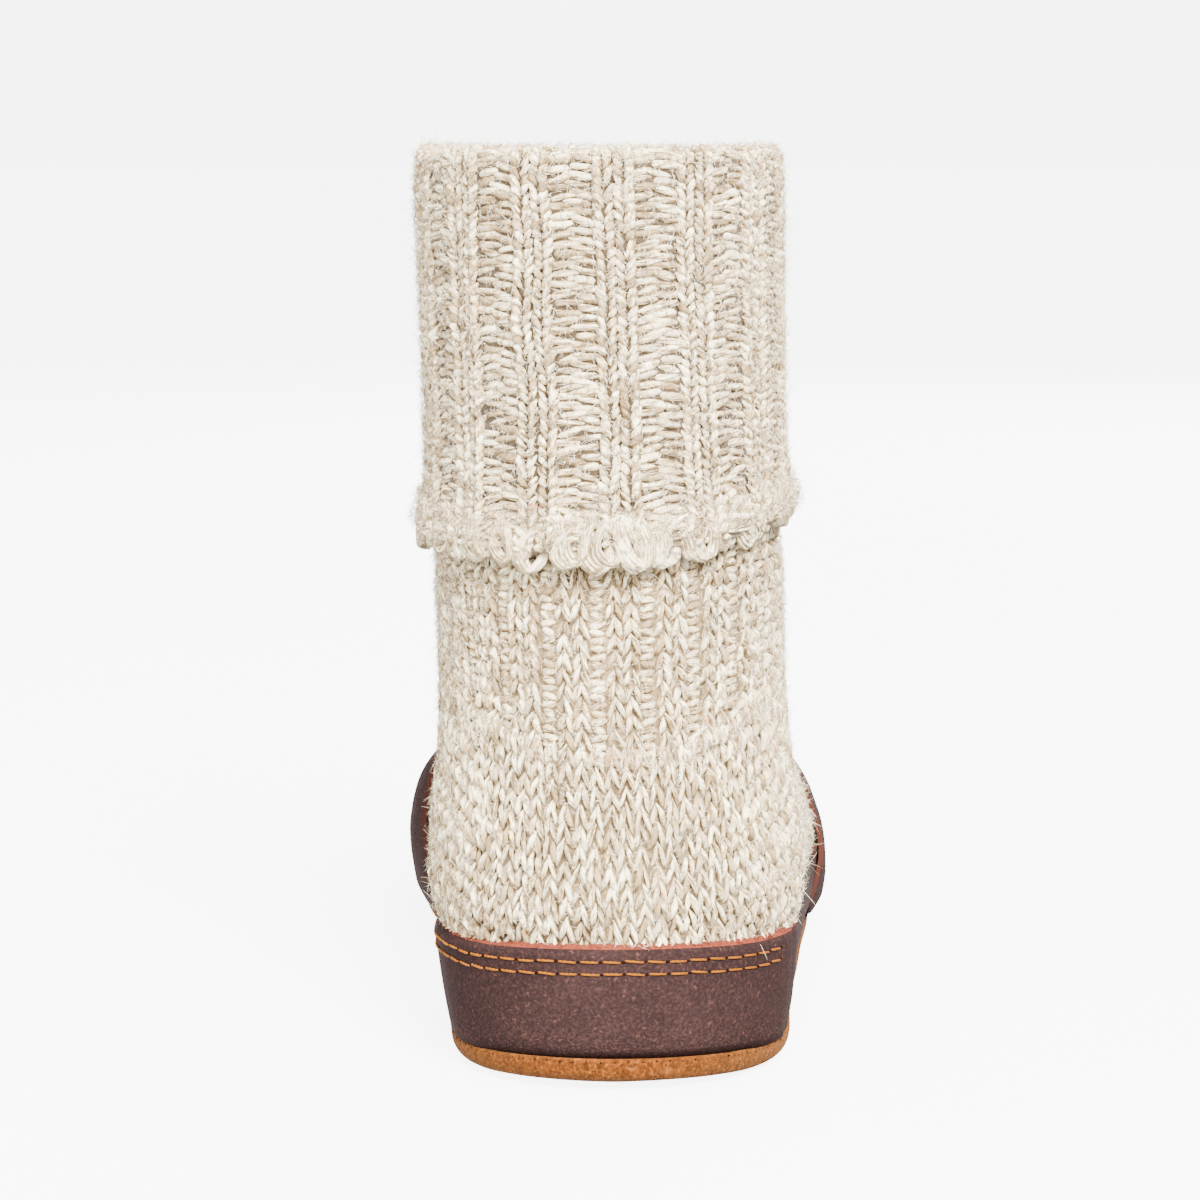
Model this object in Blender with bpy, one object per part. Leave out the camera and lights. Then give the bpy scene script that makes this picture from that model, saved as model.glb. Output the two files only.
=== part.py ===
"""Slipper sock for the right foot: a knitted sock with a folded cuff, sewn into a leather and suede shoe.

Lengths are in millimetres and become metres when a mesh is made. X runs to the outer side of the foot,
Y to the toe and Z up, and the origin lies on the floor under the middle of the object.
"""

import math
from collections import namedtuple

import bmesh
import bpy
from mathutils import Vector

MM = 0.001

# Driving dimensions
SOLE_LENGTH = 257.0
BALL_WIDTH = 99.0
HEIGHT = 187.0
SOLE_THICK = 5.0
LEATHER = 1.6
KNIT = 2.8
CUFF_KNIT = 2.6
INSOLE_THICK = 3.0
# Clearances: between touching pieces, between knit and toe cap, and between shaft and folded cuff
GAP = 0.3
CAP_GAP = 0.55
CUFF_GAP = 0.8
# The cuff's hem: its height at the heel, its bead, and how it climbs towards the outer side and the toe
HEM_HEIGHT = 105.0
HEM_BEAD_HEIGHT = 10.0
HEM_BEAD_STEP = 1.8
HEM_TILT = 0.055
HEM_CLIMB = 0.06
# How much the sock leans inwards for each millimetre above the sole's edge
LEAN = 0.0265
LEAN_START = 8.0
# How far the knit swells above the leather that holds it in, and over what rise
PUFF = 1.7
PUFF_RISE = 5.0
# Where the band ends under the toe cap, and where the cap is back down on the knit
BAND_END = 152.0
CAP_LAP_END = 168.0
CAP_BLANK_START = 118.0
# The columns of faces round the sock, and how much they crowd at heel and toe
COLUMNS = 56
CROWDING = 0.45
ARCH_SIDE = -30.0
ORIGIN_SHIFT = (-1.2, 0.5 * SOLE_LENGTH)

# The foot's plan, before its two ends are rounded: shares of the sole's length and of the ball's width.
Plan = namedtuple("Plan", "station centre half")
PLAN = [
    Plan(0.00, -0.012, 0.338),
    Plan(0.14, 0.000, 0.354),
    Plan(0.25, 0.004, 0.364),
    Plan(0.40, 0.028, 0.386),
    Plan(0.52, 0.022, 0.428),
    Plan(0.61, 0.002, 0.474),
    Plan(0.68, -0.010, 0.492),
    Plan(0.76, -0.018, 0.492),
    Plan(0.85, -0.030, 0.492),
    Plan(0.93, -0.044, 0.484),
    Plan(1.00, -0.056, 0.460),
]

# One row for each course round the sock, from the sole to the collar. Runs are shares of the sole's
# length from its back end, rises are shares of the height, widths are shares of the plan's width, and
# reaches are the shares of the course over which its two ends round off.
Course = namedtuple(
    "Course",
    "name back_run back_rise front_run front_rise heel_width fore_width heel_reach toe_reach",
)
COURSES = [
    Course("sole edge", 0.0125, 0.0282, 0.985, 0.0282, 0.960, 0.915, 0.140, 0.260),
    Course("low side", 0.0075, 0.064, 0.993, 0.066, 0.990, 0.985, 0.142, 0.260),
    Course("side", 0.0055, 0.106, 0.993, 0.106, 1.020, 0.985, 0.146, 0.265),
    Course("band top", 0.0055, 0.149, 0.983, 0.144, 1.045, 0.945, 0.150, 0.275),
    Course("toe round", 0.0065, 0.191, 0.954, 0.180, 1.065, 0.880, 0.156, 0.290),
    Course("toe top", 0.0095, 0.234, 0.902, 0.212, 1.060, 0.765, 0.168, 0.315),
    Course("toe base", 0.0135, 0.277, 0.828, 0.243, 1.050, 0.668, 0.190, 0.350),
    Course("vamp", 0.0175, 0.319, 0.740, 0.282, 1.030, 0.690, 0.220, 0.390),
    Course("waist", 0.0215, 0.367, 0.640, 0.338, 1.015, 0.740, 0.265, 0.430),
    Course("instep", 0.0250, 0.420, 0.534, 0.410, 1.015, 0.830, 0.320, 0.465),
    Course("ankle low", 0.0280, 0.479, 0.428, 0.492, 1.025, 0.930, 0.380, 0.490),
    Course("ankle", 0.0290, 0.543, 0.352, 0.560, 1.015, 0.985, 0.440, 0.500),
    Course("shaft foot", 0.0290, 0.628, 0.324, 0.640, 0.970, 0.970, 0.490, 0.500),
    Course("shaft", 0.0280, 0.745, 0.316, 0.752, 0.960, 0.960, 0.500, 0.500),
    Course("shaft high", 0.0265, 0.870, 0.314, 0.872, 0.970, 0.970, 0.500, 0.500),
    Course("collar", 0.0250, 0.960, 0.314, 0.960, 0.978, 0.978, 0.500, 0.500),
]

# How far the sole's underside stands off the floor along the foot: heel, arch, ball and toe spring.
Lift = namedtuple("Lift", "station middle inner")
LIFT = [
    Lift(0.00, 2.0, 0.0),
    Lift(0.09, 0.0, 0.0),
    Lift(0.27, 0.0, 0.0),
    Lift(0.42, 1.6, 1.4),
    Lift(0.57, 0.0, 0.0),
    Lift(0.77, 0.0, 0.0),
    Lift(0.88, 1.6, 0.0),
    Lift(1.00, 6.0, 0.0),
]

# The leather's upper edge seen from the side: the band's top, then the toe cap's rear edge.
Edge = namedtuple("Edge", "run rise")
BAND_TOP = [
    Edge(0, 28.0),
    Edge(30, 27.6),
    Edge(50, 26.5),
    Edge(75, 25.0),
    Edge(110, 23.0),
    Edge(136, 21.5),
    Edge(160, 20.5),
]
CAP_EDGE = [
    Edge(134, -6.0),
    Edge(135, 6.0),
    Edge(138, 14.0),
    Edge(144, 21.0),
    Edge(153, 28.0),
    Edge(164, 35.0),
    Edge(178, 43.0),
    Edge(192, 51.0),
    Edge(204, 62.0),
]


def curve(xs, ys, x):
    """A smooth curve through the points of a table, flat past its two ends."""
    if x <= xs[0]:
        return ys[0]
    if x >= xs[-1]:
        return ys[-1]
    i = max(k for k in range(len(xs) - 1) if xs[k] <= x)
    slopes = [(ys[k + 1] - ys[k]) / (xs[k + 1] - xs[k]) for k in range(len(xs) - 1)]

    def tangent(k):
        if k == 0 or k == len(xs) - 1:
            return 0.0 if len(xs) < 3 else slopes[min(k, len(slopes) - 1)]
        before, after = slopes[k - 1], slopes[k]
        return 0.0 if before * after <= 0 else 2 * before * after / (before + after)

    span = xs[i + 1] - xs[i]
    s = (x - xs[i]) / span
    return (
        ys[i] * (1 + 2 * s) * (1 - s) ** 2
        + ys[i + 1] * s * s * (3 - 2 * s)
        + span * (tangent(i) * s * (1 - s) ** 2 - tangent(i + 1) * s * s * (1 - s))
    )


def column(table, name):
    return [getattr(row, name) for row in table]


def ramp(low, high, x):
    s = min(1.0, max(0.0, (x - low) / (high - low)))
    return s * s * (3 - 2 * s)


def plan(name, run):
    return BALL_WIDTH * curve(column(PLAN, "station"), column(PLAN, name), run / SOLE_LENGTH)


def closing(share, heel_reach, toe_reach):
    """How the plan's width closes at its two ends, share 0 at the heel and 1 at the toe."""
    heel = max(0.0, 1 - share / heel_reach)
    toe = max(0.0, 1 - (1 - share) / toe_reach)
    return math.sqrt(max(0.0, 1 - heel * heel)) * math.sqrt(max(0.0, 1 - toe * toe))


def spring(x, run, rise):
    """The lift of the foot's soft bottom, fading out up the ankle."""
    stations = column(LIFT, "station")
    share = run / SOLE_LENGTH
    lift = curve(stations, column(LIFT, "middle"), share)
    lift += ramp(0, ARCH_SIDE, x) * curve(stations, column(LIFT, "inner"), share)
    return lift * (1 - 0.6 * ramp(20, 90, rise))


def leather_top(run):
    band = curve(column(BAND_TOP, "run"), column(BAND_TOP, "rise"), run)
    cap = curve(column(CAP_EDGE, "run"), column(CAP_EDGE, "rise"), run)
    return max(band, cap)


def course_at(level):
    """The course at a level that may lie between two rows of the table."""
    rows = list(range(len(COURSES)))
    names = Course._fields[1:]
    return Course("", *(curve(rows, column(COURSES, name), level) for name in names))


def ring(level, count=COLUMNS, dense=240):
    """Points round the sock's outside at a level, from the heel's middle past the outer side."""
    c = course_at(level)
    crowd = CROWDING * (1 - ramp(0.3, 0.6, c.back_rise))
    sides = []
    for side in (1, -1):
        trace = []
        for i in range(dense + 1):
            share = 0.5 - 0.5 * math.cos(math.pi * i / dense)
            share = 2 * share * share if share < 0.5 else 1 - 2 * (1 - share) ** 2
            run = SOLE_LENGTH * (c.back_run + share * (c.front_run - c.back_run))
            rise = HEIGHT * (c.back_rise + share * (c.front_rise - c.back_rise))
            width = c.heel_width + ramp(0, 1, share) * (c.fore_width - c.heel_width)
            half = plan("half", run) * width * closing(share, c.heel_reach, c.toe_reach)
            middle = plan("centre", run) * (1 - ramp(40, 110, rise))
            trace.append(Vector((middle + side * half, run, rise)))
        sides.append(evenly(trace, count // 2, crowd))
    return sides[0] + sides[1][-2:0:-1]


def evenly(trace, steps, crowd):
    """Points at even steps along a trace, crowded towards its two ends."""
    lengths = [0.0]
    for a, b in zip(trace, trace[1:]):
        lengths.append(lengths[-1] + (b - a).length)
    points = []
    k = 0
    for i in range(steps + 1):
        s = i / steps
        target = lengths[-1] * (s - crowd * math.sin(2 * math.pi * s) / (2 * math.pi))
        while k < len(trace) - 2 and lengths[k + 1] < target:
            k += 1
        part = (target - lengths[k]) / max(1e-9, lengths[k + 1] - lengths[k])
        points.append(trace[k].lerp(trace[k + 1], min(1.0, max(0.0, part))))
    return points


class Skin:
    """The knit's outer surface as columns that climb from the sole to the collar, with their normals."""

    STEP = 0.25

    def __init__(self):
        count = int((len(COURSES) - 1) / self.STEP) + 1
        self.levels = [i * self.STEP for i in range(count)]
        self.rows = [[settle(p) for p in ring(level)] for level in self.levels]
        self.normals = [[self.normal(i, k) for k in range(COLUMNS)] for i in range(count)]

    def normal(self, i, k):
        up = self.rows[min(i + 1, len(self.rows) - 1)][k] - self.rows[max(i - 1, 0)][k]
        along = self.rows[i][(k + 1) % COLUMNS] - self.rows[i][k - 1]
        if i == 0:
            up = Vector((0, 0, 1))
        return along.cross(up).normalized()

    def at(self, k, level, out=0.0, puffed=True):
        """The point of a column at a level, moved out along the normal."""
        place = min(max(level / self.STEP, 0.0), len(self.rows) - 1.0)
        i = min(int(place), len(self.rows) - 2)
        point = self.rows[i][k].lerp(self.rows[i + 1][k], place - i)
        normal = self.normals[i][k].lerp(self.normals[i + 1][k], place - i).normalized()
        if puffed:
            out += puff(point)
        return point + normal * out

    def level_at(self, k, height):
        """The level at which a column reaches a height above its own foot's lift."""
        foot = self.rows[0][k].z - SOLE_THICK - GAP
        target = height + foot
        for i in range(len(self.rows) - 1):
            low, high = self.rows[i][k].z, self.rows[i + 1][k].z
            if low <= target <= high:
                return (i + (target - low) / max(1e-9, high - low)) * self.STEP
        return 0.0 if target < self.rows[0][k].z else self.levels[-1]


def settle(p):
    """Gives a point of the straight last its toe spring, arch and the shaft's lean."""
    lean = -LEAN * max(0.0, p.z - LEAN_START)
    return Vector((p.x + lean, p.y, p.z + spring(p.x, p.y, p.z)))


def puff(point):
    """How far the knit swells past the leather's edge that holds it in."""
    rise = point.z - spring(point.x, point.y, point.z)
    top = leather_top(point.y)
    over_cap = ramp(128, 150, point.y)
    start = top + 1.0 + 10.0 * over_cap
    fade = 1 - ramp(30, 75, rise - top)
    return PUFF * ramp(start, start + PUFF_RISE + 4.0 * over_cap, rise) * fade


def material(name, colour, roughness, metallic=0.0):
    made = bpy.data.materials.new(name)
    made.use_nodes = True
    shader = made.node_tree.nodes["Principled BSDF"]
    shader.inputs["Base Color"].default_value = (*colour, 1.0)
    shader.inputs["Roughness"].default_value = roughness
    shader.inputs["Metallic"].default_value = metallic
    return made


def place(point):
    """A point in millimetres from the sole's back end, as metres from the origin."""
    return Vector((point.x - ORIGIN_SHIFT[0], point.y - ORIGIN_SHIFT[1], point.z)) * MM


def finish(name, bm, finish_material, smooth=True):
    bmesh.ops.recalc_face_normals(bm, faces=bm.faces)
    mesh = bpy.data.meshes.new(name)
    bm.to_mesh(mesh)
    bm.free()
    mesh.materials.append(finish_material)
    if smooth:
        mesh.shade_smooth()
        mesh.set_sharp_from_angle(angle=math.radians(40))
    made = bpy.data.objects.new(name, mesh)
    bpy.context.collection.objects.link(made)
    return made


def ladder(bm, loop):
    """Closes a ring with rungs between its outer and inner sides, heel to toe."""
    count = len(loop)
    for k in range(count // 2):
        corners = [loop[k], loop[k + 1], loop[(count - k - 1) % count], loop[(count - k) % count]]
        corners = [v for i, v in enumerate(corners) if v not in corners[:i]]
        bm.faces.new(corners)


def loft(rings):
    """A closed body through rings of the same count, each end closed by a ladder."""
    bm = bmesh.new()
    loops = [[bm.verts.new(place(p)) for p in points] for points in rings]
    for low, high in zip(loops, loops[1:]):
        for k in range(len(low)):
            n = (k + 1) % len(low)
            bm.faces.new((low[k], low[n], high[n], high[k]))
    ladder(bm, loops[0])
    ladder(bm, loops[-1])
    return bm


def shell(columns):
    """A closed sheet of real thickness: each column is a loop up its inner face and down its outer one."""
    bm = bmesh.new()
    loops = [[bm.verts.new(place(p)) for p in points] for points in columns]
    for left, right in zip(loops, loops[1:]):
        for k in range(len(left)):
            n = (k + 1) % len(left)
            bm.faces.new((left[k], left[n], right[n], right[k]))
    for loop in (loops[0], loops[-1]):
        half = len(loop) // 2
        for k in range(half - 1):
            bm.faces.new((loop[k], loop[k + 1], loop[-k - 2], loop[-k - 1]))
    return bm


def flat_ring(skin, height, out):
    """A ring at one height over the lifted sole, following the foot's plan at a distance."""
    points = []
    for k in range(COLUMNS):
        level = skin.level_at(k, max(height, SOLE_THICK + GAP))
        p = skin.at(k, level, 0.0, puffed=False)
        normal = (skin.rows[0][(k + 1) % COLUMNS] - skin.rows[0][k - 1]).cross(Vector((0, 0, 1)))
        normal.z = 0
        p = p + normal.normalized() * out
        lift = spring(p.x, p.y, height)
        points.append(Vector((p.x, p.y, height + lift)))
    return points


def make_outsole(skin, suede):
    out = LEATHER + GAP
    # Height and inset of each step of the sole's rounded edge.
    steps = [(0.0, 2.6), (0.7, 1.0), (1.9, 0.2), (3.6, 0.0), (SOLE_THICK, 0.2)]
    rings = [flat_ring(skin, height, out - inset) for height, inset in steps]
    return finish("outsole", loft(rings), suede)


def make_insole(skin, felt):
    base = SOLE_THICK + GAP + KNIT + GAP
    steps = [(0.0, 2.2), (0.8, 1.3), (INSOLE_THICK - 0.6, 1.0), (INSOLE_THICK, 1.8)]
    rings = [flat_ring(skin, base + height, -KNIT - inset) for height, inset in steps]
    return finish("insole", loft(rings), felt)


def upper_rings(skin):
    """Every ring of the sock: up its outside, down and up the folded cuff, then down its inside."""
    columns = range(COLUMNS)
    rings = []
    for share in (0.0, 0.3, 0.62):
        rings.append([skin.at(k, skin.level_at(k, low_height(skin, k, share))) for k in columns])
    for above in (0.4, 3.2, 6.6):
        rings.append([skin.at(k, skin.level_at(k, band_top(skin, k) + above)) for k in columns])
    outside = [4.6, 5.3, 6.0, 6.8, 7.6, 8.4, 9.2, 10.0, 10.8, 11.6]
    rings += [[skin.at(k, level) for k in columns] for level in outside]
    shaft = [HEM_HEIGHT + 18, HEM_HEIGHT + 40, HEM_HEIGHT + 62]
    top = HEIGHT - 3.8
    cuff_out = CUFF_GAP + CUFF_KNIT
    bead_out = cuff_out + HEM_BEAD_STEP
    hem = HEM_HEIGHT
    # Height and distance from the shaft's outside, round the whole section of the folded cuff.
    section = [(z, 0.0) for z in shaft + [top]]
    section += [(top + 0.3, 0.5 * CUFF_GAP)]
    section += [(z, CUFF_GAP) for z in [top] + shaft[::-1]]
    section += [(hem + 2.4, CUFF_GAP), (hem + 0.5, CUFF_GAP + 0.8), (hem, CUFF_GAP + 2.2)]
    section += [(hem + 1.2, bead_out - 0.4), (hem + 3.4, bead_out), (hem + HEM_BEAD_HEIGHT - 2.5, bead_out)]
    section += [(hem + HEM_BEAD_HEIGHT, cuff_out)]
    section += [(z, cuff_out) for z in shaft + [HEIGHT - 3.0]]
    section += [(HEIGHT - 1.2, cuff_out - 0.9), (HEIGHT - 0.2, cuff_out - 2.3), (HEIGHT, cuff_out - 3.6)]
    section += [(HEIGHT - 0.7, -KNIT + 1.0), (HEIGHT - 2.4, -KNIT)]
    section += [(z, -KNIT) for z in shaft[::-1] + [HEM_HEIGHT]]
    for height, out in section:
        rings.append([cuff_point(skin, k, height, out) for k in columns])
    inside = [10.6, 9.6, 8.7, 7.8, 7.0, 6.2, 5.4, 4.6, 3.8, 2.9, 2.0, 1.2]
    rings += [[skin.at(k, level, -KNIT) for k in columns] for level in inside]
    floor = SOLE_THICK + GAP + KNIT
    rings.append(flat_ring(skin, floor + 1.6, -KNIT))
    rings.append(flat_ring(skin, floor, -KNIT - 1.6))
    return rings


def band_top(skin, k):
    run = skin.rows[0][k].y
    return curve(column(BAND_TOP, "run"), column(BAND_TOP, "rise"), run)


def low_height(skin, k, share):
    low = SOLE_THICK + GAP
    return low + share * (band_top(skin, k) - low)


def cuff_point(skin, k, height, out):
    near_hem = 1 - ramp(HEM_HEIGHT + HEM_BEAD_HEIGHT, HEM_HEIGHT + 40, height)
    on_cuff = ramp(0.0, CUFF_GAP, out)
    collar = skin.rows[-1][k]
    tilt = (HEM_TILT * collar.x + HEM_CLIMB * (collar.y - skin.rows[-1][0].y)) * near_hem * on_cuff
    level = skin.level_at(k, min(height, 0.955 * HEIGHT) + tilt)
    p = skin.at(k, level, out)
    return Vector((p.x, p.y, height + tilt))


def make_upper(skin, wool):
    return finish("upper", loft(upper_rings(skin)), wool)


def leather_point(skin, k, level, out):
    """A point of a leather piece, kept clear of the sole below it."""
    p = skin.at(k, level, out, puffed=False)
    p.z = max(p.z, SOLE_THICK + GAP + spring(p.x, p.y, SOLE_THICK))
    return p


def make_heel_band(skin, leather):
    fronts = [k for k in range(COLUMNS) if skin.rows[0][k].y > BAND_END]
    order = list(range(fronts[-1] + 1, COLUMNS)) + list(range(fronts[0]))
    columns = []
    for k in order:
        levels = [skin.level_at(k, low_height(skin, k, share)) for share in (0.0, 0.25, 0.5, 0.75, 1.0)]
        inner = [leather_point(skin, k, level, GAP) for level in levels]
        outer = [leather_point(skin, k, level, GAP + LEATHER) for level in reversed(levels)]
        columns.append(inner + outer)
    return finish("heel_band", shell(columns), leather)


def cap_out(point):
    """The toe cap's distance from the knit: it steps out over the band's two ends."""
    over_band = (1 - ramp(BAND_END, CAP_LAP_END, point.y)) * (1 - ramp(24, 32, point.z))
    return CAP_GAP + (LEATHER + 0.2) * over_band


def make_toe_cap(skin, leather):
    order = [k for k in range(COLUMNS) if skin.rows[0][k].y > CAP_BLANK_START]
    levels = [0.0, 0.7, 1.4, 2.1, 2.8, 3.5, 4.2, 4.9, 5.6, 6.4, 7.5]
    columns = []
    for k in order:
        points = [skin.at(k, level, 0.0, puffed=False) for level in levels]
        inner = [leather_point(skin, k, level, cap_out(p)) for level, p in zip(levels, points)]
        outer = [leather_point(skin, k, level, cap_out(p) + LEATHER) for level, p in zip(levels, points)]
        columns.append(inner + outer[::-1])
    cap = finish("toe_cap", shell(columns), leather)
    cut = cap.modifiers.new("rear edge", "BOOLEAN")
    cut.operation = "DIFFERENCE"
    cut.object = make_edge_cutter()
    return cap


def make_edge_cutter():
    """Everything behind and above the toe cap's rear edge, as a prism across the foot."""
    bm = bmesh.new()
    steps = 14
    first, last = CAP_EDGE[0].run, CAP_EDGE[-1].run
    runs, rises = column(CAP_EDGE, "run"), column(CAP_EDGE, "rise")
    edge = []
    for i in range(steps + 1):
        rise = rises[0] + (rises[-1] - rises[0]) * i / steps
        edge.append((curve(rises, runs, rise), rise))
    outline = edge + [(last, HEIGHT), (first - 60, HEIGHT), (first - 60, rises[0])]
    face = bm.faces.new([bm.verts.new(place(Vector((-90, run, rise)))) for run, rise in outline])
    across = bmesh.ops.extrude_face_region(bm, geom=[face])
    moved = [v for v in across["geom"] if isinstance(v, bmesh.types.BMVert)]
    bmesh.ops.translate(bm, verts=moved, vec=Vector((180 * MM, 0, 0)))
    cutter = finish("cap_edge_cutter", bm, material("guide", (0.5, 0.5, 0.5), 0.5), smooth=False)
    cutter.hide_render = True
    cutter.display_type = "WIRE"
    return cutter


def main():
    for old in list(bpy.data.objects):
        bpy.data.objects.remove(old)
    wool = material("ragg wool", (0.70, 0.64, 0.54), 0.95)
    leather = material("brown leather", (0.16, 0.085, 0.078), 0.6)
    suede = material("tan suede", (0.48, 0.18, 0.05), 0.95)
    felt = material("felt", (0.62, 0.57, 0.50), 0.95)
    skin = Skin()
    make_outsole(skin, suede)
    make_insole(skin, felt)
    make_upper(skin, wool)
    make_heel_band(skin, leather)
    make_toe_cap(skin, leather)


main()
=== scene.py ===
# Slipper sock for the right foot: a ragg wool sock with a folded cuff, sewn into a leather and suede shoe.
# Metres, X to the outer side of the foot, Y to the toe, Z up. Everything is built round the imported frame.
import math

import bmesh
import bpy
import numpy as np
from mathutils import Matrix, Vector
from mathutils.bvhtree import BVHTree
from mathutils.noise import noise as softNoise


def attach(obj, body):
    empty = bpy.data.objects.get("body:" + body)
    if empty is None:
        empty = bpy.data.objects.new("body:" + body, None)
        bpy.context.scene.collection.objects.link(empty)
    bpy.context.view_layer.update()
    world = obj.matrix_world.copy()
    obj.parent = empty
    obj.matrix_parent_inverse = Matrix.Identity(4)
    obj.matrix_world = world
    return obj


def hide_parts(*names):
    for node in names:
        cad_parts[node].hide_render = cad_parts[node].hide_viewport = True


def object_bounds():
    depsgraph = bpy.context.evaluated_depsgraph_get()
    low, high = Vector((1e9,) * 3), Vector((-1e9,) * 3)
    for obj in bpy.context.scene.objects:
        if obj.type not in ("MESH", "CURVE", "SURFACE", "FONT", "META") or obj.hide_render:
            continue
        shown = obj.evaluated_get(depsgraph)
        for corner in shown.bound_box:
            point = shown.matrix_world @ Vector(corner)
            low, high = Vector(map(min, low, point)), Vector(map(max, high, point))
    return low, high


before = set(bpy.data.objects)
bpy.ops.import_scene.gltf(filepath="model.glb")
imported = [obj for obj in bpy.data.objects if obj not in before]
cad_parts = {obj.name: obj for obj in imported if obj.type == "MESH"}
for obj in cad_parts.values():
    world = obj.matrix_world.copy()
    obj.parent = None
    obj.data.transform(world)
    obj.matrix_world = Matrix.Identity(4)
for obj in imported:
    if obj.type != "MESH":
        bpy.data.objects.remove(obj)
cadLow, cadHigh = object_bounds()
chance = np.random.default_rng(7)
mm = 0.001


def mix(a, b, t):
    return a + (b - a) * t


def ramp(low, high, x):
    t = min(1.0, max(0.0, (x - low) / (high - low)))
    return t * t * (3 - 2 * t)


def spread(amount):
    return amount * (2 * chance.random() - 1)


def unit(vectors):
    return vectors / np.maximum(np.linalg.norm(vectors, axis=-1, keepdims=True), 1e-12)


def runAlong(points):
    # how far along a line each of its points lies
    return np.concatenate([[0.0], np.cumsum(np.linalg.norm(np.diff(points, axis=0), axis=1))])


def readAt(run, lengths, values):
    # a point or direction read part of the way along a line
    return [np.interp(run, lengths, values[:, k]) for k in range(3)]


def lastWhere(near, far, holds):
    # the last height from near toward far at which something holds, found by halving
    for _ in range(12):
        half = 0.5 * (near + far)
        near, far = (half, far) if holds(half) else (near, half)
    return near


def rgb(red, green, blue):
    # a colour as a screen shows it, made linear
    linear = [c / 12.92 if c <= 0.04045 else ((c + 0.055) / 1.055) ** 2.4 for c in (red, green, blue)]
    return (*linear, 1.0)


class Value:
    # one socket in a material, with the sums it takes part in
    def __init__(self, finish, socket):
        self.finish = finish
        self.socket = socket

    def sum(self, operation, first, second=0.0):
        return self.finish.add("ShaderNodeMath", {"operation": operation}, {0: first, 1: second})

    def __add__(self, other):
        return self.sum("ADD", self, other)

    def __radd__(self, other):
        return self.sum("ADD", other, self)

    def __sub__(self, other):
        return self.sum("SUBTRACT", self, other)

    def __rsub__(self, other):
        return self.sum("SUBTRACT", other, self)

    def __mul__(self, other):
        return self.sum("MULTIPLY", self, other)

    def __rmul__(self, other):
        return self.sum("MULTIPLY", other, self)

    def range(self, low, high, most=1.0):
        # none at low and the most at high, smoothly
        inputs = {"From Min": low, "From Max": high, "To Max": most, "Value": self}
        return self.finish.add("ShaderNodeMapRange", {"interpolation_type": "SMOOTHSTEP"}, inputs)


class Finish:
    # a material with one Principled shader: constants go on its sockets, varying values come through drive
    def __init__(self, name, constants):
        self.material = bpy.data.materials.new(name)
        self.material.use_nodes = True
        self.tree = self.material.node_tree
        self.shader = self.tree.nodes["Principled BSDF"]
        for key, value in constants.items():
            self.shader.inputs[key].default_value = value

    def add(self, kind, settings=None, inputs=None, output=0):
        node = self.tree.nodes.new(kind)
        for key, value in (settings or {}).items():
            if key == "stops":
                stops = node.color_ramp.elements
                while len(stops) < len(value):
                    stops.new(0.5)
                for stop, (place, colour) in zip(stops, value):
                    stop.position = place
                    stop.color = colour
            else:
                setattr(node, key, value)
        for key, value in (inputs or {}).items():
            if isinstance(value, Value):
                self.tree.links.new(value.socket, node.inputs[key])
            else:
                node.inputs[key].default_value = value
        return Value(self, node.outputs[output])

    def place(self, scale=(1.0, 1.0, 1.0)):
        where = self.add("ShaderNodeTexCoord", output="Object")
        return self.add("ShaderNodeMapping", inputs={"Vector": where, "Scale": scale})

    def coordinate(self, axis):
        return self.add("ShaderNodeSeparateXYZ", inputs={0: self.place()}, output=axis)

    def cloud(self, where, scale, detail, roughness, distortion=0.0):
        inputs = {"Vector": where, "Scale": scale, "Detail": detail, "Roughness": roughness}
        inputs["Distortion"] = distortion
        return self.add("ShaderNodeTexNoise", inputs=inputs)

    def layers(self, colour, *more):
        # the base colour, and over it each further colour by its factor
        for factor, over in more:
            inputs = {0: factor, 6: colour, 7: rgb(*over)}
            colour = self.add("ShaderNodeMix", {"data_type": "RGBA"}, inputs, 2)
        self.drive("Base Color", colour)

    def tone(self):
        return self.add("ShaderNodeAttribute", {"attribute_name": "tone"}, output="Fac")

    def drive(self, socket, value):
        self.tree.links.new(value.socket, self.shader.inputs[socket])

    def bump(self, height, distance, strength):
        inputs = {"Height": height, "Distance": distance, "Strength": strength}
        self.drive("Normal", self.add("ShaderNodeBump", inputs=inputs))


# Camera, lights and floor
studio = {
    "cameraPlace": (0.0, -0.8085, 0.187),
    "lens": 105.8,
    "pitch": 7.376,
    "yaw": 0.2396,
    "floorSize": 60.0,
    "floorGlow": 6.4,
    "worldStrength": 0.75,
    "backdropStrength": 6.55,
    "lamps": [  # name, place, aim, size, power, spread in degrees
        ("key", (0.40, -1.35, 1.15), (0.0, 0.0, 0.07), 0.7, 238.0, 180),
        ("fill", (-0.7, -1.4, 0.35), (0.0, 0.0, 0.06), 1.2, 76.0, 180),
        ("top", (0.0, 0.2, 1.7), (0.0, 0.0, 0.1), 1.4, 60.0, 180),
        ("far", (0.5, 1.5, 1.0), (0.0, 0.0, 0.07), 1.2, 80.0, 180),
        ("low", (0.06, -0.46, 0.012), (0.0, -0.12, 0.055), 0.24, 0.2, 75),
    ],
}
white = (1.0, 1.0, 1.0, 1.0)


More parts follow.
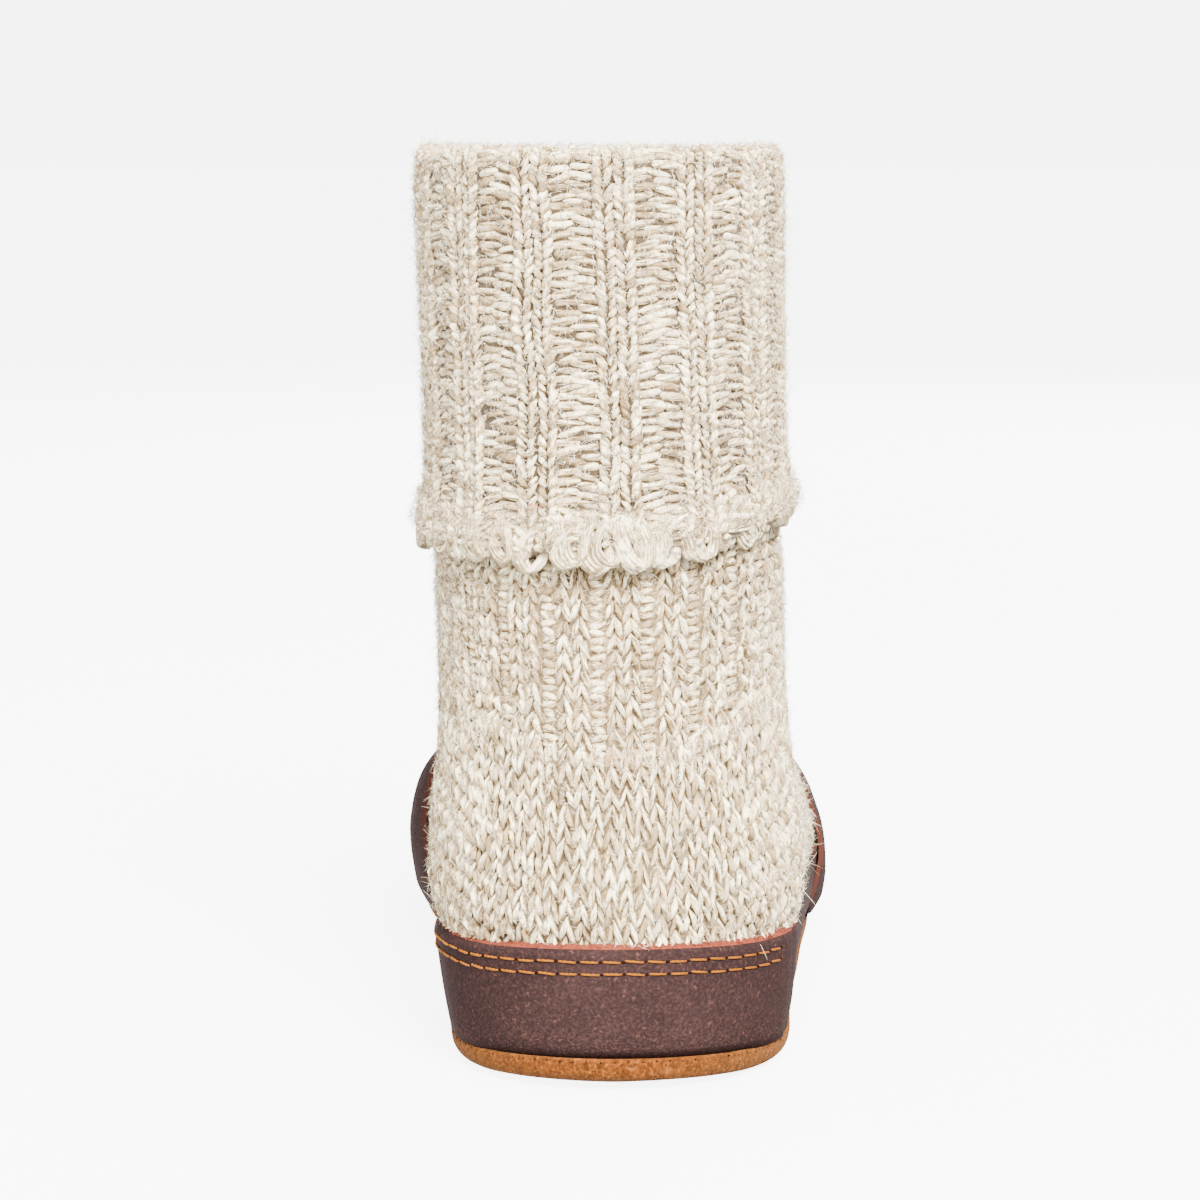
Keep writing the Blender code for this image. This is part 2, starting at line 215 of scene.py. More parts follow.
def makeStudio(s):
    cameraData = bpy.data.cameras.new("camera")
    cameraData.sensor_width = 36.0
    cameraData.lens = s["lens"]
    cameraData.clip_end = 100.0
    camera = bpy.data.objects.new("camera", cameraData)
    bpy.context.collection.objects.link(camera)
    camera.location = s["cameraPlace"]
    camera.rotation_euler = (math.radians(90 - s["pitch"]), 0.0, math.radians(s["yaw"]))
    bpy.context.scene.camera = camera

    # the world lights softly and looks paler to the camera
    world = bpy.data.worlds.new("soft studio")
    world.use_nodes = True
    nodes, links = world.node_tree.nodes, world.node_tree.links
    rays, either = nodes.new("ShaderNodeLightPath"), nodes.new("ShaderNodeMixShader")
    links.new(rays.outputs["Is Camera Ray"], either.inputs[0])
    soft, backdrop = nodes["Background"], nodes.new("ShaderNodeBackground")
    for i, (glow, strength) in enumerate(((soft, "worldStrength"), (backdrop, "backdropStrength"))):
        glow.inputs["Color"].default_value = white
        glow.inputs["Strength"].default_value = s[strength]
        links.new(glow.outputs[0], either.inputs[i + 1])
    links.new(either.outputs[0], nodes["World Output"].inputs["Surface"])
    bpy.context.scene.world = world

    for name, spot, aim, size, power, angle in s["lamps"]:
        lampData = bpy.data.lights.new(name, "AREA")
        lampData.size = size
        lampData.energy = power
        lampData.spread = math.radians(angle)
        lamp = bpy.data.objects.new(name, lampData)
        bpy.context.collection.objects.link(lamp)
        lamp.location = spot
        lamp.visible_camera = False
        lamp.rotation_euler = (Vector(aim) - Vector(spot)).to_track_quat("-Z", "Y").to_euler()

    bm = bmesh.new()
    bmesh.ops.create_grid(bm, x_segments=1, y_segments=1, size=0.5 * s["floorSize"])
    bmesh.ops.translate(bm, verts=bm.verts, vec=Vector((0, 0, cadLow.z - 0.0002)))
    look = {"Base Color": (0.4, 0.4, 0.4, 1.0), "Roughness": 0.9, "Specular IOR Level": 0.0,
            "Emission Color": white, "Emission Strength": s["floorGlow"]}
    floor = linkMesh("floor", bm, Finish("pale floor", look))
    floor.visible_diffuse = False


def linkMesh(name, bm, finish):
    mesh = bpy.data.meshes.new(name)
    bm.to_mesh(mesh)
    bm.free()
    mesh.materials.append(finish.material)
    piece = bpy.data.objects.new(name, mesh)
    bpy.context.collection.objects.link(piece)
    return piece


def settle(piece, slot, *stoodFor):
    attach(piece, "root")
    if stoodFor:
        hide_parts(*stoodFor)
    return piece


makeStudio(studio)
print("studio made")


# Finishes
def woolFinish():
    # marled yarn: each stitch has its own tone, with streaks of fibre along it and a few flecks
    f = Finish("ragg wool yarn", {"Roughness": 0.95, "Specular IOR Level": 0.08, "Sheen Weight": 0.12,
                                  "Sheen Roughness": 0.5, "Sheen Tint": rgb(1.0, 0.93, 0.82)})
    tone = f.tone()
    own = f.add("ShaderNodeCombineXYZ", inputs={"Z": tone * 60.0})
    spun = f.add("ShaderNodeMapping", {"vector_type": "TEXTURE"},
                 {"Vector": f.add("ShaderNodeUVMap"), "Scale": (0.34, 0.9, 1.0), "Rotation": (0, 0, 0.45)})
    streak = f.cloud(f.add("ShaderNodeVectorMath", {"operation": "ADD"}, {0: spun, 1: own}), 1.0, 4.0, 0.65)
    patch = f.cloud(f.place((1.0, 1.0, 2.2)), 70.0, 3.0, 0.6)
    speck = f.cloud(f.place((1.0, 1.0, 0.7)), 850.0, 4.0, 0.65)
    fleck = f.cloud(f.place((1.0, 1.0, 1.6)), 260.0, 2.0, 0.5)
    stops = [(0.0, rgb(0.985, 0.94, 0.79)), (0.50, rgb(0.975, 0.92, 0.76)), (0.68, rgb(0.90, 0.815, 0.64)),
             (0.80, rgb(0.79, 0.74, 0.64)), (0.91, rgb(0.67, 0.58, 0.43)), (1.0, rgb(0.43, 0.36, 0.27))]
    f.layers(f.add("ShaderNodeValToRGB", {"stops": stops}, {0: tone}),
             (patch.range(0.46, 0.70, 0.4), (0.70, 0.61, 0.465)),
             (streak.range(0.45, 0.56, 0.9), (0.63, 0.525, 0.36)),
             (streak.range(0.56, 0.64, 0.9), (0.33, 0.26, 0.17)),
             (speck.range(0.51, 0.63, 0.75), (0.43, 0.35, 0.245)),
             (fleck.range(0.68, 0.74, 0.7), (0.72, 0.45, 0.25)),
             (fleck.range(0.33, 0.27, 0.7), (0.36, 0.31, 0.27)))
    f.bump(streak * 0.7 - speck * 0.3, 0.8 * mm, 1.0)
    return f


def fuzzFinish():
    f = Finish("wool hairs", {"Roughness": 0.9, "Specular IOR Level": 0.15})
    stops = [(0.0, rgb(0.98, 0.94, 0.84)), (0.52, rgb(0.93, 0.86, 0.73)), (0.70, rgb(0.58, 0.48, 0.34)),
             (0.85, rgb(0.30, 0.24, 0.17)), (1.0, rgb(0.12, 0.10, 0.08))]
    f.layers(f.add("ShaderNodeValToRGB", {"stops": stops}, {0: f.tone()}))
    return f


def gapShadeFinish():
    # the knit behind the stitches: tan painted shade of the gaps between stitches, a darker painted shade on
    # the cuff
    f = Finish("wool ground", {"Roughness": 0.97, "Specular IOR Level": 0.1, "Sheen Weight": 0.2})
    patch = f.cloud(f.place(), 160.0, 4.0, 0.6)
    grain = f.cloud(f.place(), 1500.0, 3.0, 0.6)
    f.layers(rgb(0.54, 0.45, 0.32),
             (patch.range(0.4, 0.65), (0.40, 0.325, 0.225)),
             # painted deeper shade of the gaps from 100 mm up, behind the cuff's stitches and at the hem
             (f.coordinate(2).range(100 * mm, 107 * mm, 0.9), (0.24, 0.19, 0.125)),
             (grain.range(0.4, 0.7, 0.5), (0.18, 0.145, 0.10)))
    f.bump(grain, 0.6 * mm, 0.8)
    return f


def napFinish(name, light, dark, loops):
    # brushed wool: the inside of the sock, and under the hem's loops a tan painted shade of the gaps between
    # the loops
    f = Finish(name, {"Roughness": 0.97, "Specular IOR Level": 0.1, "Sheen Weight": 0.35})
    nap = f.cloud(f.place((1.0, 1.0, 0.6)), 800.0, 4.0, 0.65)
    inputs = {"Vector": f.place((1.0, 1.0, 1.7)), "Scale": loops}
    bumps = f.add("ShaderNodeTexVoronoi", {"feature": "SMOOTH_F1"}, inputs)
    patch = f.cloud(f.place(), 110.0, 3.0, 0.6)
    f.layers(rgb(*light),
             (nap.range(0.35, 0.65), dark),
             # darker where the bumps dip: painted shade in the hollows between them
             (bumps.range(0.35, 0.75, 0.55), (0.50, 0.42, 0.33)),
             (patch.range(0.5, 0.75, 0.5), (0.66, 0.59, 0.50)))
    f.bump(nap * 0.4 - bumps, 1.2 * mm, 0.9)
    return f


yarn, hairs, gapShade = woolFinish(), fuzzFinish(), gapShadeFinish()
lining = napFinish("wool inside", (0.88, 0.82, 0.73), (0.74, 0.66, 0.55), 300.0)
# the hem's brushed wool is coloured tan as painted shade between the loops
hemLoopShade = napFinish("hem fleece", (0.52, 0.44, 0.33), (0.38, 0.31, 0.225), 420.0)


# Copies of the frame's meshes, merged and with their triangles paired
def mergedCopy(node, pairAngle):
    bm = bmesh.new()
    bm.from_mesh(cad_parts[node].data)
    bmesh.ops.remove_doubles(bm, verts=bm.verts, dist=0.02 * mm)
    limit = math.radians(pairAngle)
    bmesh.ops.join_triangles(bm, faces=bm.faces, angle_face_threshold=limit, angle_shape_threshold=limit)
    for face in bm.faces:
        face.smooth = True
    return bm


def smoothed(bm, levels, tight=None):
    # the same form after a subdivision surface, as a new bmesh; edges over the tight angle stay crisp
    if tight:
        crease = bm.edges.layers.float.new("crease_edge")
        for edge in bm.edges:
            if len(edge.link_faces) == 2 and edge.calc_face_angle() > math.radians(tight):
                edge[crease] = 0.8
    mesh = bpy.data.meshes.new("draft")
    bm.to_mesh(mesh)
    bm.free()
    draft = bpy.data.objects.new("draft", mesh)
    bpy.context.collection.objects.link(draft)
    rounder = draft.modifiers.new("round", "SUBSURF")
    rounder.levels = levels
    rounder.render_levels = levels
    graph = bpy.context.evaluated_depsgraph_get()
    done = bpy.data.meshes.new_from_object(draft.evaluated_get(graph))
    made = bmesh.new()
    made.from_mesh(done)
    bpy.data.objects.remove(draft)
    return made


def treeOf(*nodes):
    bm = bmesh.new()
    for node in nodes:
        bm.from_mesh(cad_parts[node].data)
    tree = BVHTree.FromBMesh(bm)
    bm.free()
    return tree


upperForm = smoothed(mergedCopy("upper", 50), 1)
knitTree = BVHTree.FromBMesh(upperForm)
shoeTree = treeOf("heel_band", "toe_cap", "outsole")
print("frame copies made", len(upperForm.faces))


# One ring round the knit: where rays from outside meet it, and how long it is
class Ring:
    steps = 220

    def __init__(self, castAt):
        self.points, self.normals = [], []
        for i in range(self.steps + 1):
            point, normal = castAt(2 * math.pi * (i % self.steps) / self.steps)
            self.points.append(point)
            self.normals.append(normal)
        half = self.steps // 2
        self.outer = self.measured(range(half + 1))
        self.inner = self.measured(range(self.steps, half - 1, -1))

    def measured(self, order):
        lengths = [0.0]
        for a, b in zip(order, order[1:]):
            lengths.append(lengths[-1] + (self.points[b] - self.points[a]).length)
        return order, np.array(lengths)

    def at(self, wale, wales, gauge):
        # the place of a wale counted from the heel's middle line, positive to the outer side
        order, lengths = self.outer if wale >= 0 else self.inner
        most = 0.5 * wales
        count = min(abs(wale), most)
        base = min(gauge, lengths[-1] / most)
        extra = (lengths[-1] - base * most) / most ** 2
        run = base * count + extra * count ** 2
        k = min(int(np.searchsorted(lengths, run, side="right")) - 1, len(order) - 2)
        k = max(k, 0)
        t = (run - lengths[k]) / max(1e-9, lengths[k + 1] - lengths[k])
        a, b = order[k], order[k + 1]
        return self.points[a].lerp(self.points[b], t), self.normals[a].lerp(self.normals[b], t).normalized()


def castRound(centre, toBack):
    # rays that come in from outside toward a centre, in the plane of X and the way to the heel
    reach = 0.2

    def castAt(angle):
        way = toBack * math.cos(angle) + Vector((1, 0, 0)) * math.sin(angle)
        return knitTree.ray_cast(centre + way * reach, -way, reach)[:2]

    return castAt


# A sheet of knitting: rings, and the stitches' places on it
class Fabric:
    def __init__(self, rings, wales, gauge):
        self.wales = wales
        self.rows = len(rings)
        quarters = 4 * wales + 1
        self.place = np.zeros((self.rows, quarters, 3))
        self.out = np.zeros((self.rows, quarters, 3))
        for r, ring in enumerate(rings):
            for q in range(quarters):
                point, normal = ring.at(q / 4 - wales / 2, wales, gauge)
                self.place[r, q] = point
                self.out[r, q] = normal

    def sample(self, field, rows, wales):
        # row 0 is the top; a wale is counted from the heel's middle line
        rows = np.clip(rows, 0.0, self.rows - 1.001)
        q = (4 * (np.asarray(wales) + self.wales / 2)) % (4 * self.wales)
        r0, q0 = rows.astype(int), q.astype(int)
        tr, tq = (rows - r0)[:, None], (q - q0)[:, None]
        near = mix(field[r0, q0], field[r0, q0 + 1], tq)
        far = mix(field[r0 + 1, q0], field[r0 + 1, q0 + 1], tq)
        return mix(near, far, tr)

    def spots(self, rows, wales):
        # points, outward normals, the ways up and to the next wale, both with their real size
        rows, wales = np.asarray(rows, float), np.asarray(wales, float)
        point = self.sample(self.place, rows, wales)
        out = unit(self.sample(self.out, rows, wales))
        up = self.sample(self.place, rows - 0.5, wales) - self.sample(self.place, rows + 0.5, wales)
        side = self.sample(self.place, rows, wales + 0.5) - self.sample(self.place, rows, wales - 0.5)
        return point, out, up, side

    def spot(self, row, wale):
        return [Vector(v[0]) for v in self.spots([row], [wale])]

    def evenRows(self, wale, pitch, start):
        # rows an even length apart down one wale, whatever the rings do there
        line = self.sample(self.place, np.arange(self.rows) * 1.0, np.full(self.rows, wale))
        lengths = runAlong(line)
        return np.interp(np.arange(start, lengths[-1], pitch), lengths, np.arange(self.rows))


# Lists of places for copies: point, the way along the form, the way out, sizes, tone
class Spots:
    def __init__(self):
        self.lines = []

    def add(self, point, along, out, size, tone=None):
        self.lines.append((*point, *along, *out, *size, chance.random() if tone is None else tone))

    def table(self):
        return np.array(self.lines)


def extruded(bm, face):
    # the face's copy at the end of a new extrusion, ready to be moved
    grown = bmesh.ops.extrude_face_region(bm, geom=[face])["geom"]
    return [g for g in grown if isinstance(g, bmesh.types.BMFace)][0]


def closeShell(bm):
    # deletes the faces left inside by extruding, and turns the rest outward
    inner = [f for f in bm.faces if all(len(e.link_faces) > 2 for e in f.edges)]
    if inner:
        bmesh.ops.delete(bm, geom=inner, context="FACES_ONLY")
    bmesh.ops.recalc_face_normals(bm, faces=bm.faces)


# One stitch is a short tapered length of yarn; a few dozen faces, copied over the fabric
def makeStitchForm(name, sides, stations):
    # stations: place along, width, height above the cloth, and how far to one side
    bm = bmesh.new()
    ring = bmesh.ops.create_circle(bm, cap_ends=True, radius=0.5, segments=sides)["verts"]
    bmesh.ops.rotate(bm, verts=ring, matrix=Matrix.Rotation(math.radians(90), 3, "X"))
    along, width, lift, aside = stations[0]
    bmesh.ops.scale(bm, verts=ring, vec=(width, 1, width))
    bmesh.ops.translate(bm, verts=ring, vec=(aside, along, lift))
    face = bm.faces[:][0]
    for (a0, w0, l0, s0), (a1, w1, l1, s1) in zip(stations, stations[1:]):
        face = extruded(bm, face)
        middle = Vector((s0, a0, l0))
        bmesh.ops.scale(bm, verts=face.verts, vec=(w1 / w0, 1, w1 / w0), space=Matrix.Translation(-middle))
        bmesh.ops.translate(bm, verts=face.verts, vec=(s1 - s0, a1 - a0, l1 - l0))
    return closeForm(name, bm)


def closeForm(name, bm, flat=True):
    # makes the form's object; a flat form is laid down as its own UV map
    closeShell(bm)
    if flat:
        sheet = bm.loops.layers.uv.new("UVMap")
        for face in bm.faces:
            for loop in face.loops:
                loop[sheet].uv = (loop.vert.co.x + 0.5, loop.vert.co.y + 0.5)
    for face in bm.faces:
        face.smooth = True
    mesh = bpy.data.meshes.new(name)
    bm.to_mesh(mesh)
    bm.free()
    return bpy.data.objects.new(name, mesh)


def copyGroup(form):
    # geometry nodes that set one copy of the form on each point and make the copies real
    group = bpy.data.node_groups.new("copies of " + form.name, "GeometryNodeTree")
    group.interface.new_socket("Geometry", in_out="INPUT", socket_type="NodeSocketGeometry")
    group.interface.new_socket("Geometry", in_out="OUTPUT", socket_type="NodeSocketGeometry")
    nodes, links = group.nodes, group.links
    start, end = nodes.new("NodeGroupInput"), nodes.new("NodeGroupOutput")
    source = nodes.new("GeometryNodeObjectInfo")
    source.inputs["Object"].default_value = form
    ways = {}
    for name in ("along", "out", "size"):
        ways[name] = nodes.new("GeometryNodeInputNamedAttribute")
        ways[name].data_type = "FLOAT_VECTOR"
        ways[name].inputs["Name"].default_value = name
    lengthwise, upright = [nodes.new("FunctionNodeAlignRotationToVector") for _ in range(2)]
    lengthwise.axis = "Y"
    upright.axis, upright.pivot_axis = "Z", "Y"
    copies = nodes.new("GeometryNodeInstanceOnPoints")
    real = nodes.new("GeometryNodeRealizeInstances")
    links.new(start.outputs[0], copies.inputs["Points"])
    links.new(source.outputs["Geometry"], copies.inputs["Instance"])
    links.new(ways["along"].outputs["Attribute"], lengthwise.inputs["Vector"])
    links.new(lengthwise.outputs["Rotation"], upright.inputs["Rotation"])
    links.new(ways["out"].outputs["Attribute"], upright.inputs["Vector"])
    links.new(upright.outputs["Rotation"], copies.inputs["Rotation"])
    links.new(ways["size"].outputs["Attribute"], copies.inputs["Scale"])
    links.new(copies.outputs["Instances"], real.inputs["Geometry"])
    links.new(real.outputs["Geometry"], end.inputs[0])
    return group


def scatter(name, form, table, finish, roughen=0.0):
    # one real copy of the form for each line of the table, its skin made a little uneven
    mesh = bpy.data.meshes.new(name + " spots")
    mesh.vertices.add(len(table))
    mesh.vertices.foreach_set("co", table[:, 0:3].ravel())
    for k, spare in enumerate(("along", "out", "size")):
        field = mesh.attributes.new(spare, "FLOAT_VECTOR", "POINT")
        field.data.foreach_set("vector", table[:, 3 * k + 3:3 * k + 6].ravel())
    mesh.attributes.new("tone", "FLOAT", "POINT").data.foreach_set("value", table[:, 12].copy())
    holder = bpy.data.objects.new(name + " spots", mesh)
    bpy.context.collection.objects.link(holder)
    holder.modifiers.new("copies", "NODES").node_group = copyGroup(form)
    graph = bpy.context.evaluated_depsgraph_get()
    made = bpy.data.meshes.new_from_object(holder.evaluated_get(graph))
    made.name = name
    for spare in ("along", "out", "size"):
        if spare in made.attributes:
            made.attributes.remove(made.attributes[spare])
    if roughen:
        places, normals = np.empty(3 * len(made.vertices)), np.empty(3 * len(made.vertices))
        made.vertices.foreach_get("co", places)
        made.vertex_normals.foreach_get("vector", normals)
        push = np.clip(chance.normal(0.0, roughen, len(made.vertices)), -2 * roughen, 2 * roughen)
        made.vertices.foreach_set("co", places + normals * np.repeat(push, 3))
    made.materials.clear()
    made.materials.append(finish.material)
    bpy.data.objects.remove(holder)
    piece = bpy.data.objects.new(name, made)
    bpy.context.collection.objects.link(piece)
    print(name, len(table), "copies", len(made.polygons), "faces")
    return piece


def makeWaveForm(name, bend):
    half = [(-0.5, 0.30, -0.7, bend), (-0.27, 0.85, -0.1, bend * 0.7)]
    rest = [(-along, width, lift, -aside) for along, width, lift, aside in reversed(half)]
    return makeStitchForm(name, 5, half + [(0.0, 1.0, 0.08, 0)] + rest)


legStations = [(-0.5, 0.30, -0.6, 0), (-0.24, 0.92, -0.06, 0), (0.14, 0.96, 0.06, 0), (0.5, 0.26, -0.5, 0)]
legForm = makeStitchForm("leg", 5, legStations)
waveForms = [makeWaveForm("wave", 0.3), makeWaveForm("counter", -0.3)]


# Where the sock's shaft stands, and the folded cuff's hem
shaft = {
    "backY": -121.2 * mm,
    "frontY": -47.0 * mm,
    "lean": -0.0265,
    "leanFrom": 8 * mm,
    "heelX": 1.2 * mm,
}
cuff = {
    "hem": 105.0 * mm,
    "hemTilt": 0.055,
    "hemClimb": 0.06,
    "radius": 39.0 * mm,
    "loopHeight": 7.0 * mm,
    "top": 187.0 * mm,
    "foldRadius": 3.3 * mm,
    "wales": 56,
    "rows": 41,
    "foldRows": 6,
    "insideRows": 12,
    "row": 1.85 * mm,
    "phase": -0.25,
    "sink": 1.05 * mm,
}


def shaftMiddle(z):
    lean = shaft["lean"] * max(0.0, z - shaft["leanFrom"])
    return Vector((shaft["heelX"] + lean, 0.5 * (shaft["backY"] + shaft["frontY"]), z))


def hemHeight(angle):
    side, back = math.sin(angle), 1 - math.cos(angle)
    return cuff["hem"] + cuff["radius"] * (cuff["hemTilt"] * side + cuff["hemClimb"] * back)


def fromHeel(angle):
    # a level way out of the shaft, straight back at 0 and to the outer side at a quarter turn
    return Vector((math.sin(angle), -math.cos(angle), 0))


def outerKnit(z, way):
    # where a level ray from outside meets the knit, and how it faces there
    return knitTree.ray_cast(shaftMiddle(z) + way * 0.1, -way, 0.1)[:2]


def innerKnit(z, way):
    return knitTree.ray_cast(shaftMiddle(z), way, 0.1)[0]


def makeCuffFabric(c):
    # from deep inside the shaft up to the fold, over it, and down the outside to the hem
    top = c["top"] - c["foldRadius"]

    def insideRing(z):
        return Ring(lambda angle: (innerKnit(z, fromHeel(angle)), -fromHeel(angle)))

    def foldRing(tilt):
        def castAt(angle):
            way = fromHeel(angle)
            middle = (outerKnit(top, way)[0] + innerKnit(top, way)) / 2
            turn = way * math.cos(tilt) + Vector((0, 0, 1)) * math.sin(tilt)
            return knitTree.ray_cast(middle + turn * 0.02, -turn, 0.02)[0], turn

        return Ring(castAt)

    def outsideRing(share):
        def castAt(angle):
            lowest = hemHeight(angle) + c["loopHeight"] * 0.6
            return outerKnit(mix(top, lowest, share), fromHeel(angle))

        return Ring(castAt)

    rings = [insideRing(top - i * c["row"]) for i in range(c["insideRows"], 0, -1)]
    rings += [foldRing(math.pi * (1 - i / c["foldRows"])) for i in range(c["foldRows"] + 1)]
    rings += [outsideRing(i / c["rows"]) for i in range(1, c["rows"] + 1)]
    return Fabric(rings, c["wales"], 1.0)


cuffFabric = makeCuffFabric(cuff)
print("cuff rings cast", cuffFabric.rows)


def swayed(point, up, side, sideways):
    # a slow waver, so that wales and rows don't run dead straight
    def sway(place, amount):
        return amount * softNoise(place * 55.0)

    return point + side * sway(point, sideways) + up * sway(point + Vector((0.3, 0, 0)), 0.9 * mm)


rib = {
    "lean": 28,  # degrees off upright
    "outerWidth": 1.72 * mm,
    "innerWidth": 1.46 * mm,
    "outerLift": 0.35 * mm,
    "length": 1.9,  # rows
}
purl = {
    "width": 0.88,  # rows
    "length": 1.85,  # wales
    "height": 0.95,  # rows
    "depth": 0.45 * mm,
    "turned": 0.08,  # share of the purls that bend the other way
}
ribs, purls = Spots(), (Spots(), Spots())


def addRib(point, out, up, side, rise, gauge, leg, outermost):
    # one leg of a rib's stitch; the legs at the rib's two sides are wider and stand higher
    lean = math.radians(rib["lean"] + spread(8))
    along = up * math.cos(lean) + side * (leg * math.sin(lean))
    shift = side * (leg * gauge * 0.25) + up * spread(0.25) * mm + side * spread(0.16) * mm
    lift = out * ((rib["outerLift"] if outermost else 0.0) + spread(0.2) * mm)
    width = (rib["outerWidth"] if outermost else rib["innerWidth"]) * (1 + spread(0.18))
    ribs.add(point + shift + lift, along, out, (width, rib["length"] * rise * (1 + spread(0.18)), width))


def addPurl(point, out, up, side, rise, gauge, second):
    # one purl bump, in two columns that bend against each other, half a row apart
    stagger = up * (rise * 0.5 if second else 0.0) + up * spread(0.18) * mm
    roll = math.radians(spread(9))
    along = side * math.cos(roll) + up * math.sin(roll)
    width = rise * purl["width"] * (1 + spread(0.22))
    size = (width, gauge * purl["length"] * (1 + spread(0.12)), rise * purl["height"])
    kind = purls[second ^ (chance.random() < purl["turned"])]
    spot = point + stagger + side * spread(0.22) * gauge - out * (purl["depth"] + spread(0.25) * mm)
    kind.add(spot, along, out, size)


for row in range(2, cuffFabric.rows):
    for wale in range(cuff["wales"]):
        middle = wale - cuff["wales"] / 2 + 0.5 + cuff["phase"]
        point, out, up, side = cuffFabric.spot(row, middle)
        rise, gauge = up.length, side.length
        up, side = up.normalized(), side.normalized()
        point = swayed(point, up, side, 1.1 * mm) - out * cuff["sink"]
        count = wale % 4  # two ribs, then two purls
        if count < 2:
            for leg in (-1, 1):
                addRib(point, out, up, side, rise, gauge, leg, (leg < 0) == (count == 0))
        else:
            addPurl(point, out, up, side, rise, gauge, count == 3)

settle(scatter("cuff_ribs", legForm, ribs.table(), yarn, 0.09 * mm), "wool")
for form, spots in zip(waveForms, purls):
    settle(scatter("cuff_purl_" + form.name, form, spots.table(), yarn, 0.09 * mm), "wool")


# The fabric below the cuff fans round the ankle and runs down the foot
footRings = [  # a ring's back and front as Y and Z in mm, and the rows from it to the next
    ((-121.2, 104.0), (-47.0, 104.0), 4),
    ((-121.0, 92.0), (-45.5, 102.0), 9),
    ((-121.0, 66.0), (-41.0, 98.5), 5),
    ((-123.0, 45.0), (-35.0, 95.5), 5),
    ((-124.0, 26.0), (-27.0, 91.5), 6),
    ((-112.0, 6.0), (-18.0, 87.0), 11),
    ((-70.0, 2.0), (-2.0, 81.0), 11),
    ((-25.0, 2.0), (20.0, 69.5), 9),
    ((10.0, 2.0), (42.0, 59.0), 9),
    ((45.0, 2.0), (66.0, 51.0), 7),
    ((75.0, 2.0), (88.0, 43.5), 0),
]
foot = {
    "liftedRings": (9.0 * mm, 6.0 * mm, 3.0 * mm),
    "ribRings": 16,
    "ribWales": 66,
    "wales": 77,
    "gauge": 3.03 * mm,
    "ribGauge": 3.4 * mm,
    "row": 3.82 * mm,
    "shaftSink": 0.4 * mm,
    "ribRow": 3.2 * mm,
    "ribPhase": -1.2,
}


def liftedRing(ring, height):
    # the same ring further up the shaft, behind the cuff
    lift = Vector((shaft["lean"] * height, 0, height))

    def castAt(angle):
        i = round(angle / (2 * math.pi) * ring.steps)
        return ring.points[i] + lift, ring.normals[i]

    return Ring(castAt)


def makeFootRings():
    rings = []
    for (back0, front0, steps), (back1, front1, _) in zip(footRings, footRings[1:]):
        for i in range(steps):
            t = i / steps
            back = Vector((0, mix(back0[0], back1[0], t), mix(back0[1], back1[1], t))) * mm
            front = Vector((0, mix(front0[0], front1[0], t), mix(front0[1], front1[1], t))) * mm
            centre = back.lerp(front, 0.5)
            centre.x = shaftMiddle(centre.z).x
            rings.append(Ring(castRound(centre, (back - front).normalized())))
    return [liftedRing(rings[0], height) for height in foot["liftedRings"]] + rings


footRingList = makeFootRings()
shaftFabric = Fabric(footRingList[:foot["ribRings"] + 2], foot["ribWales"], foot["ribGauge"])
footFabric = Fabric(footRingList[foot["ribRings"] - 1:], foot["wales"], foot["gauge"])
print("foot rings cast", len(footRingList))


def underShoe(point, out):
    # hidden by leather or sole, and not just by its edge
    nearby = (Vector((0, 0, 0)), Vector((0, 0, 3.5 * mm)), Vector((0, -3.5 * mm, 0)))
    return all(shoeTree.ray_cast(point + step - out * 0.5 * mm, out, 12 * mm)[0] for step in nearby)


knit = {
    "width": 0.395,  # wales
    "length": 1.5,  # rows
    "height": 1.2,  # widths
}
shaftPurl = {
    "width": 0.52,  # rows
    "length": 1.15,  # wales
    "height": 0.5,  # rows
}


def addKnit(spots, fabric, row, wale, rise, lean, widest, sink=0.0):
    # the two legs of one stitch, leaning together at the top
    point, out, up, side = fabric.spot(row, wale)
    gauge = side.length
    up, side = up.normalized(), side.normalized()
    point = swayed(point, up, side, 0.8 * mm) - out * sink
    for leg in (-1, 1):
        tilt = math.radians(lean + spread(8))
        along = up * math.cos(tilt) - side * (leg * math.sin(tilt))
        width = min(gauge, widest) * knit["width"] * (1 + spread(0.2))
        size = (width, knit["length"] * rise * (1 + spread(0.16)), width * knit["height"])
        shift = side * (leg * gauge * 0.25 + spread(0.15) * mm) + up * spread(0.35) * mm
        spots.add(point + shift + out * (spread(0.22) - 0.1) * mm, along, out, size)


def addShaftPurl(spots, row, wale):
    # the sunken wale between two ribs: two short bumps a row, pale and dark by chance
    point, out, up, side = shaftFabric.spot(row, wale)
    gauge, up, side = side.length, up.normalized(), side.normalized()
    deep = (1.0 - 0.8 * ramp(0.63, 1.0, row / shaftFabric.rows)) * mm
    rise = foot["ribRow"]
    size = (rise * shaftPurl["width"], gauge * shaftPurl["length"], rise * shaftPurl["height"])
    for half in (-1, 1):
        roll = math.radians(half * 14 + spread(12))
        along = side * math.cos(roll) + up * math.sin(roll)
        spot = point + up * (half * rise * 0.25) - out * deep + side * spread(0.2) * mm
        spots.add(spot, along, out, size, mix(0.3, 1.0, chance.random()))


shaftStitches = Spots()
for wale in range(foot["ribWales"]):
    middle = wale - foot["ribWales"] / 2 + 0.5 + foot["ribPhase"] % 1
    purled = (wale + math.floor(foot["ribPhase"])) % 3 == 2
    for row in shaftFabric.evenRows(middle, foot["ribRow"], 0.5 * foot["ribRow"]):
        if row > shaftFabric.rows - 2:
            break
        if purled:
            addShaftPurl(shaftStitches, row, middle)
        else:
            addKnit(shaftStitches, shaftFabric, row, middle, foot["ribRow"], 19, 3.8 * mm, foot["shaftSink"])
settle(scatter("shaft_stitches", legForm, shaftStitches.table(), yarn, 0.1 * mm), "wool")

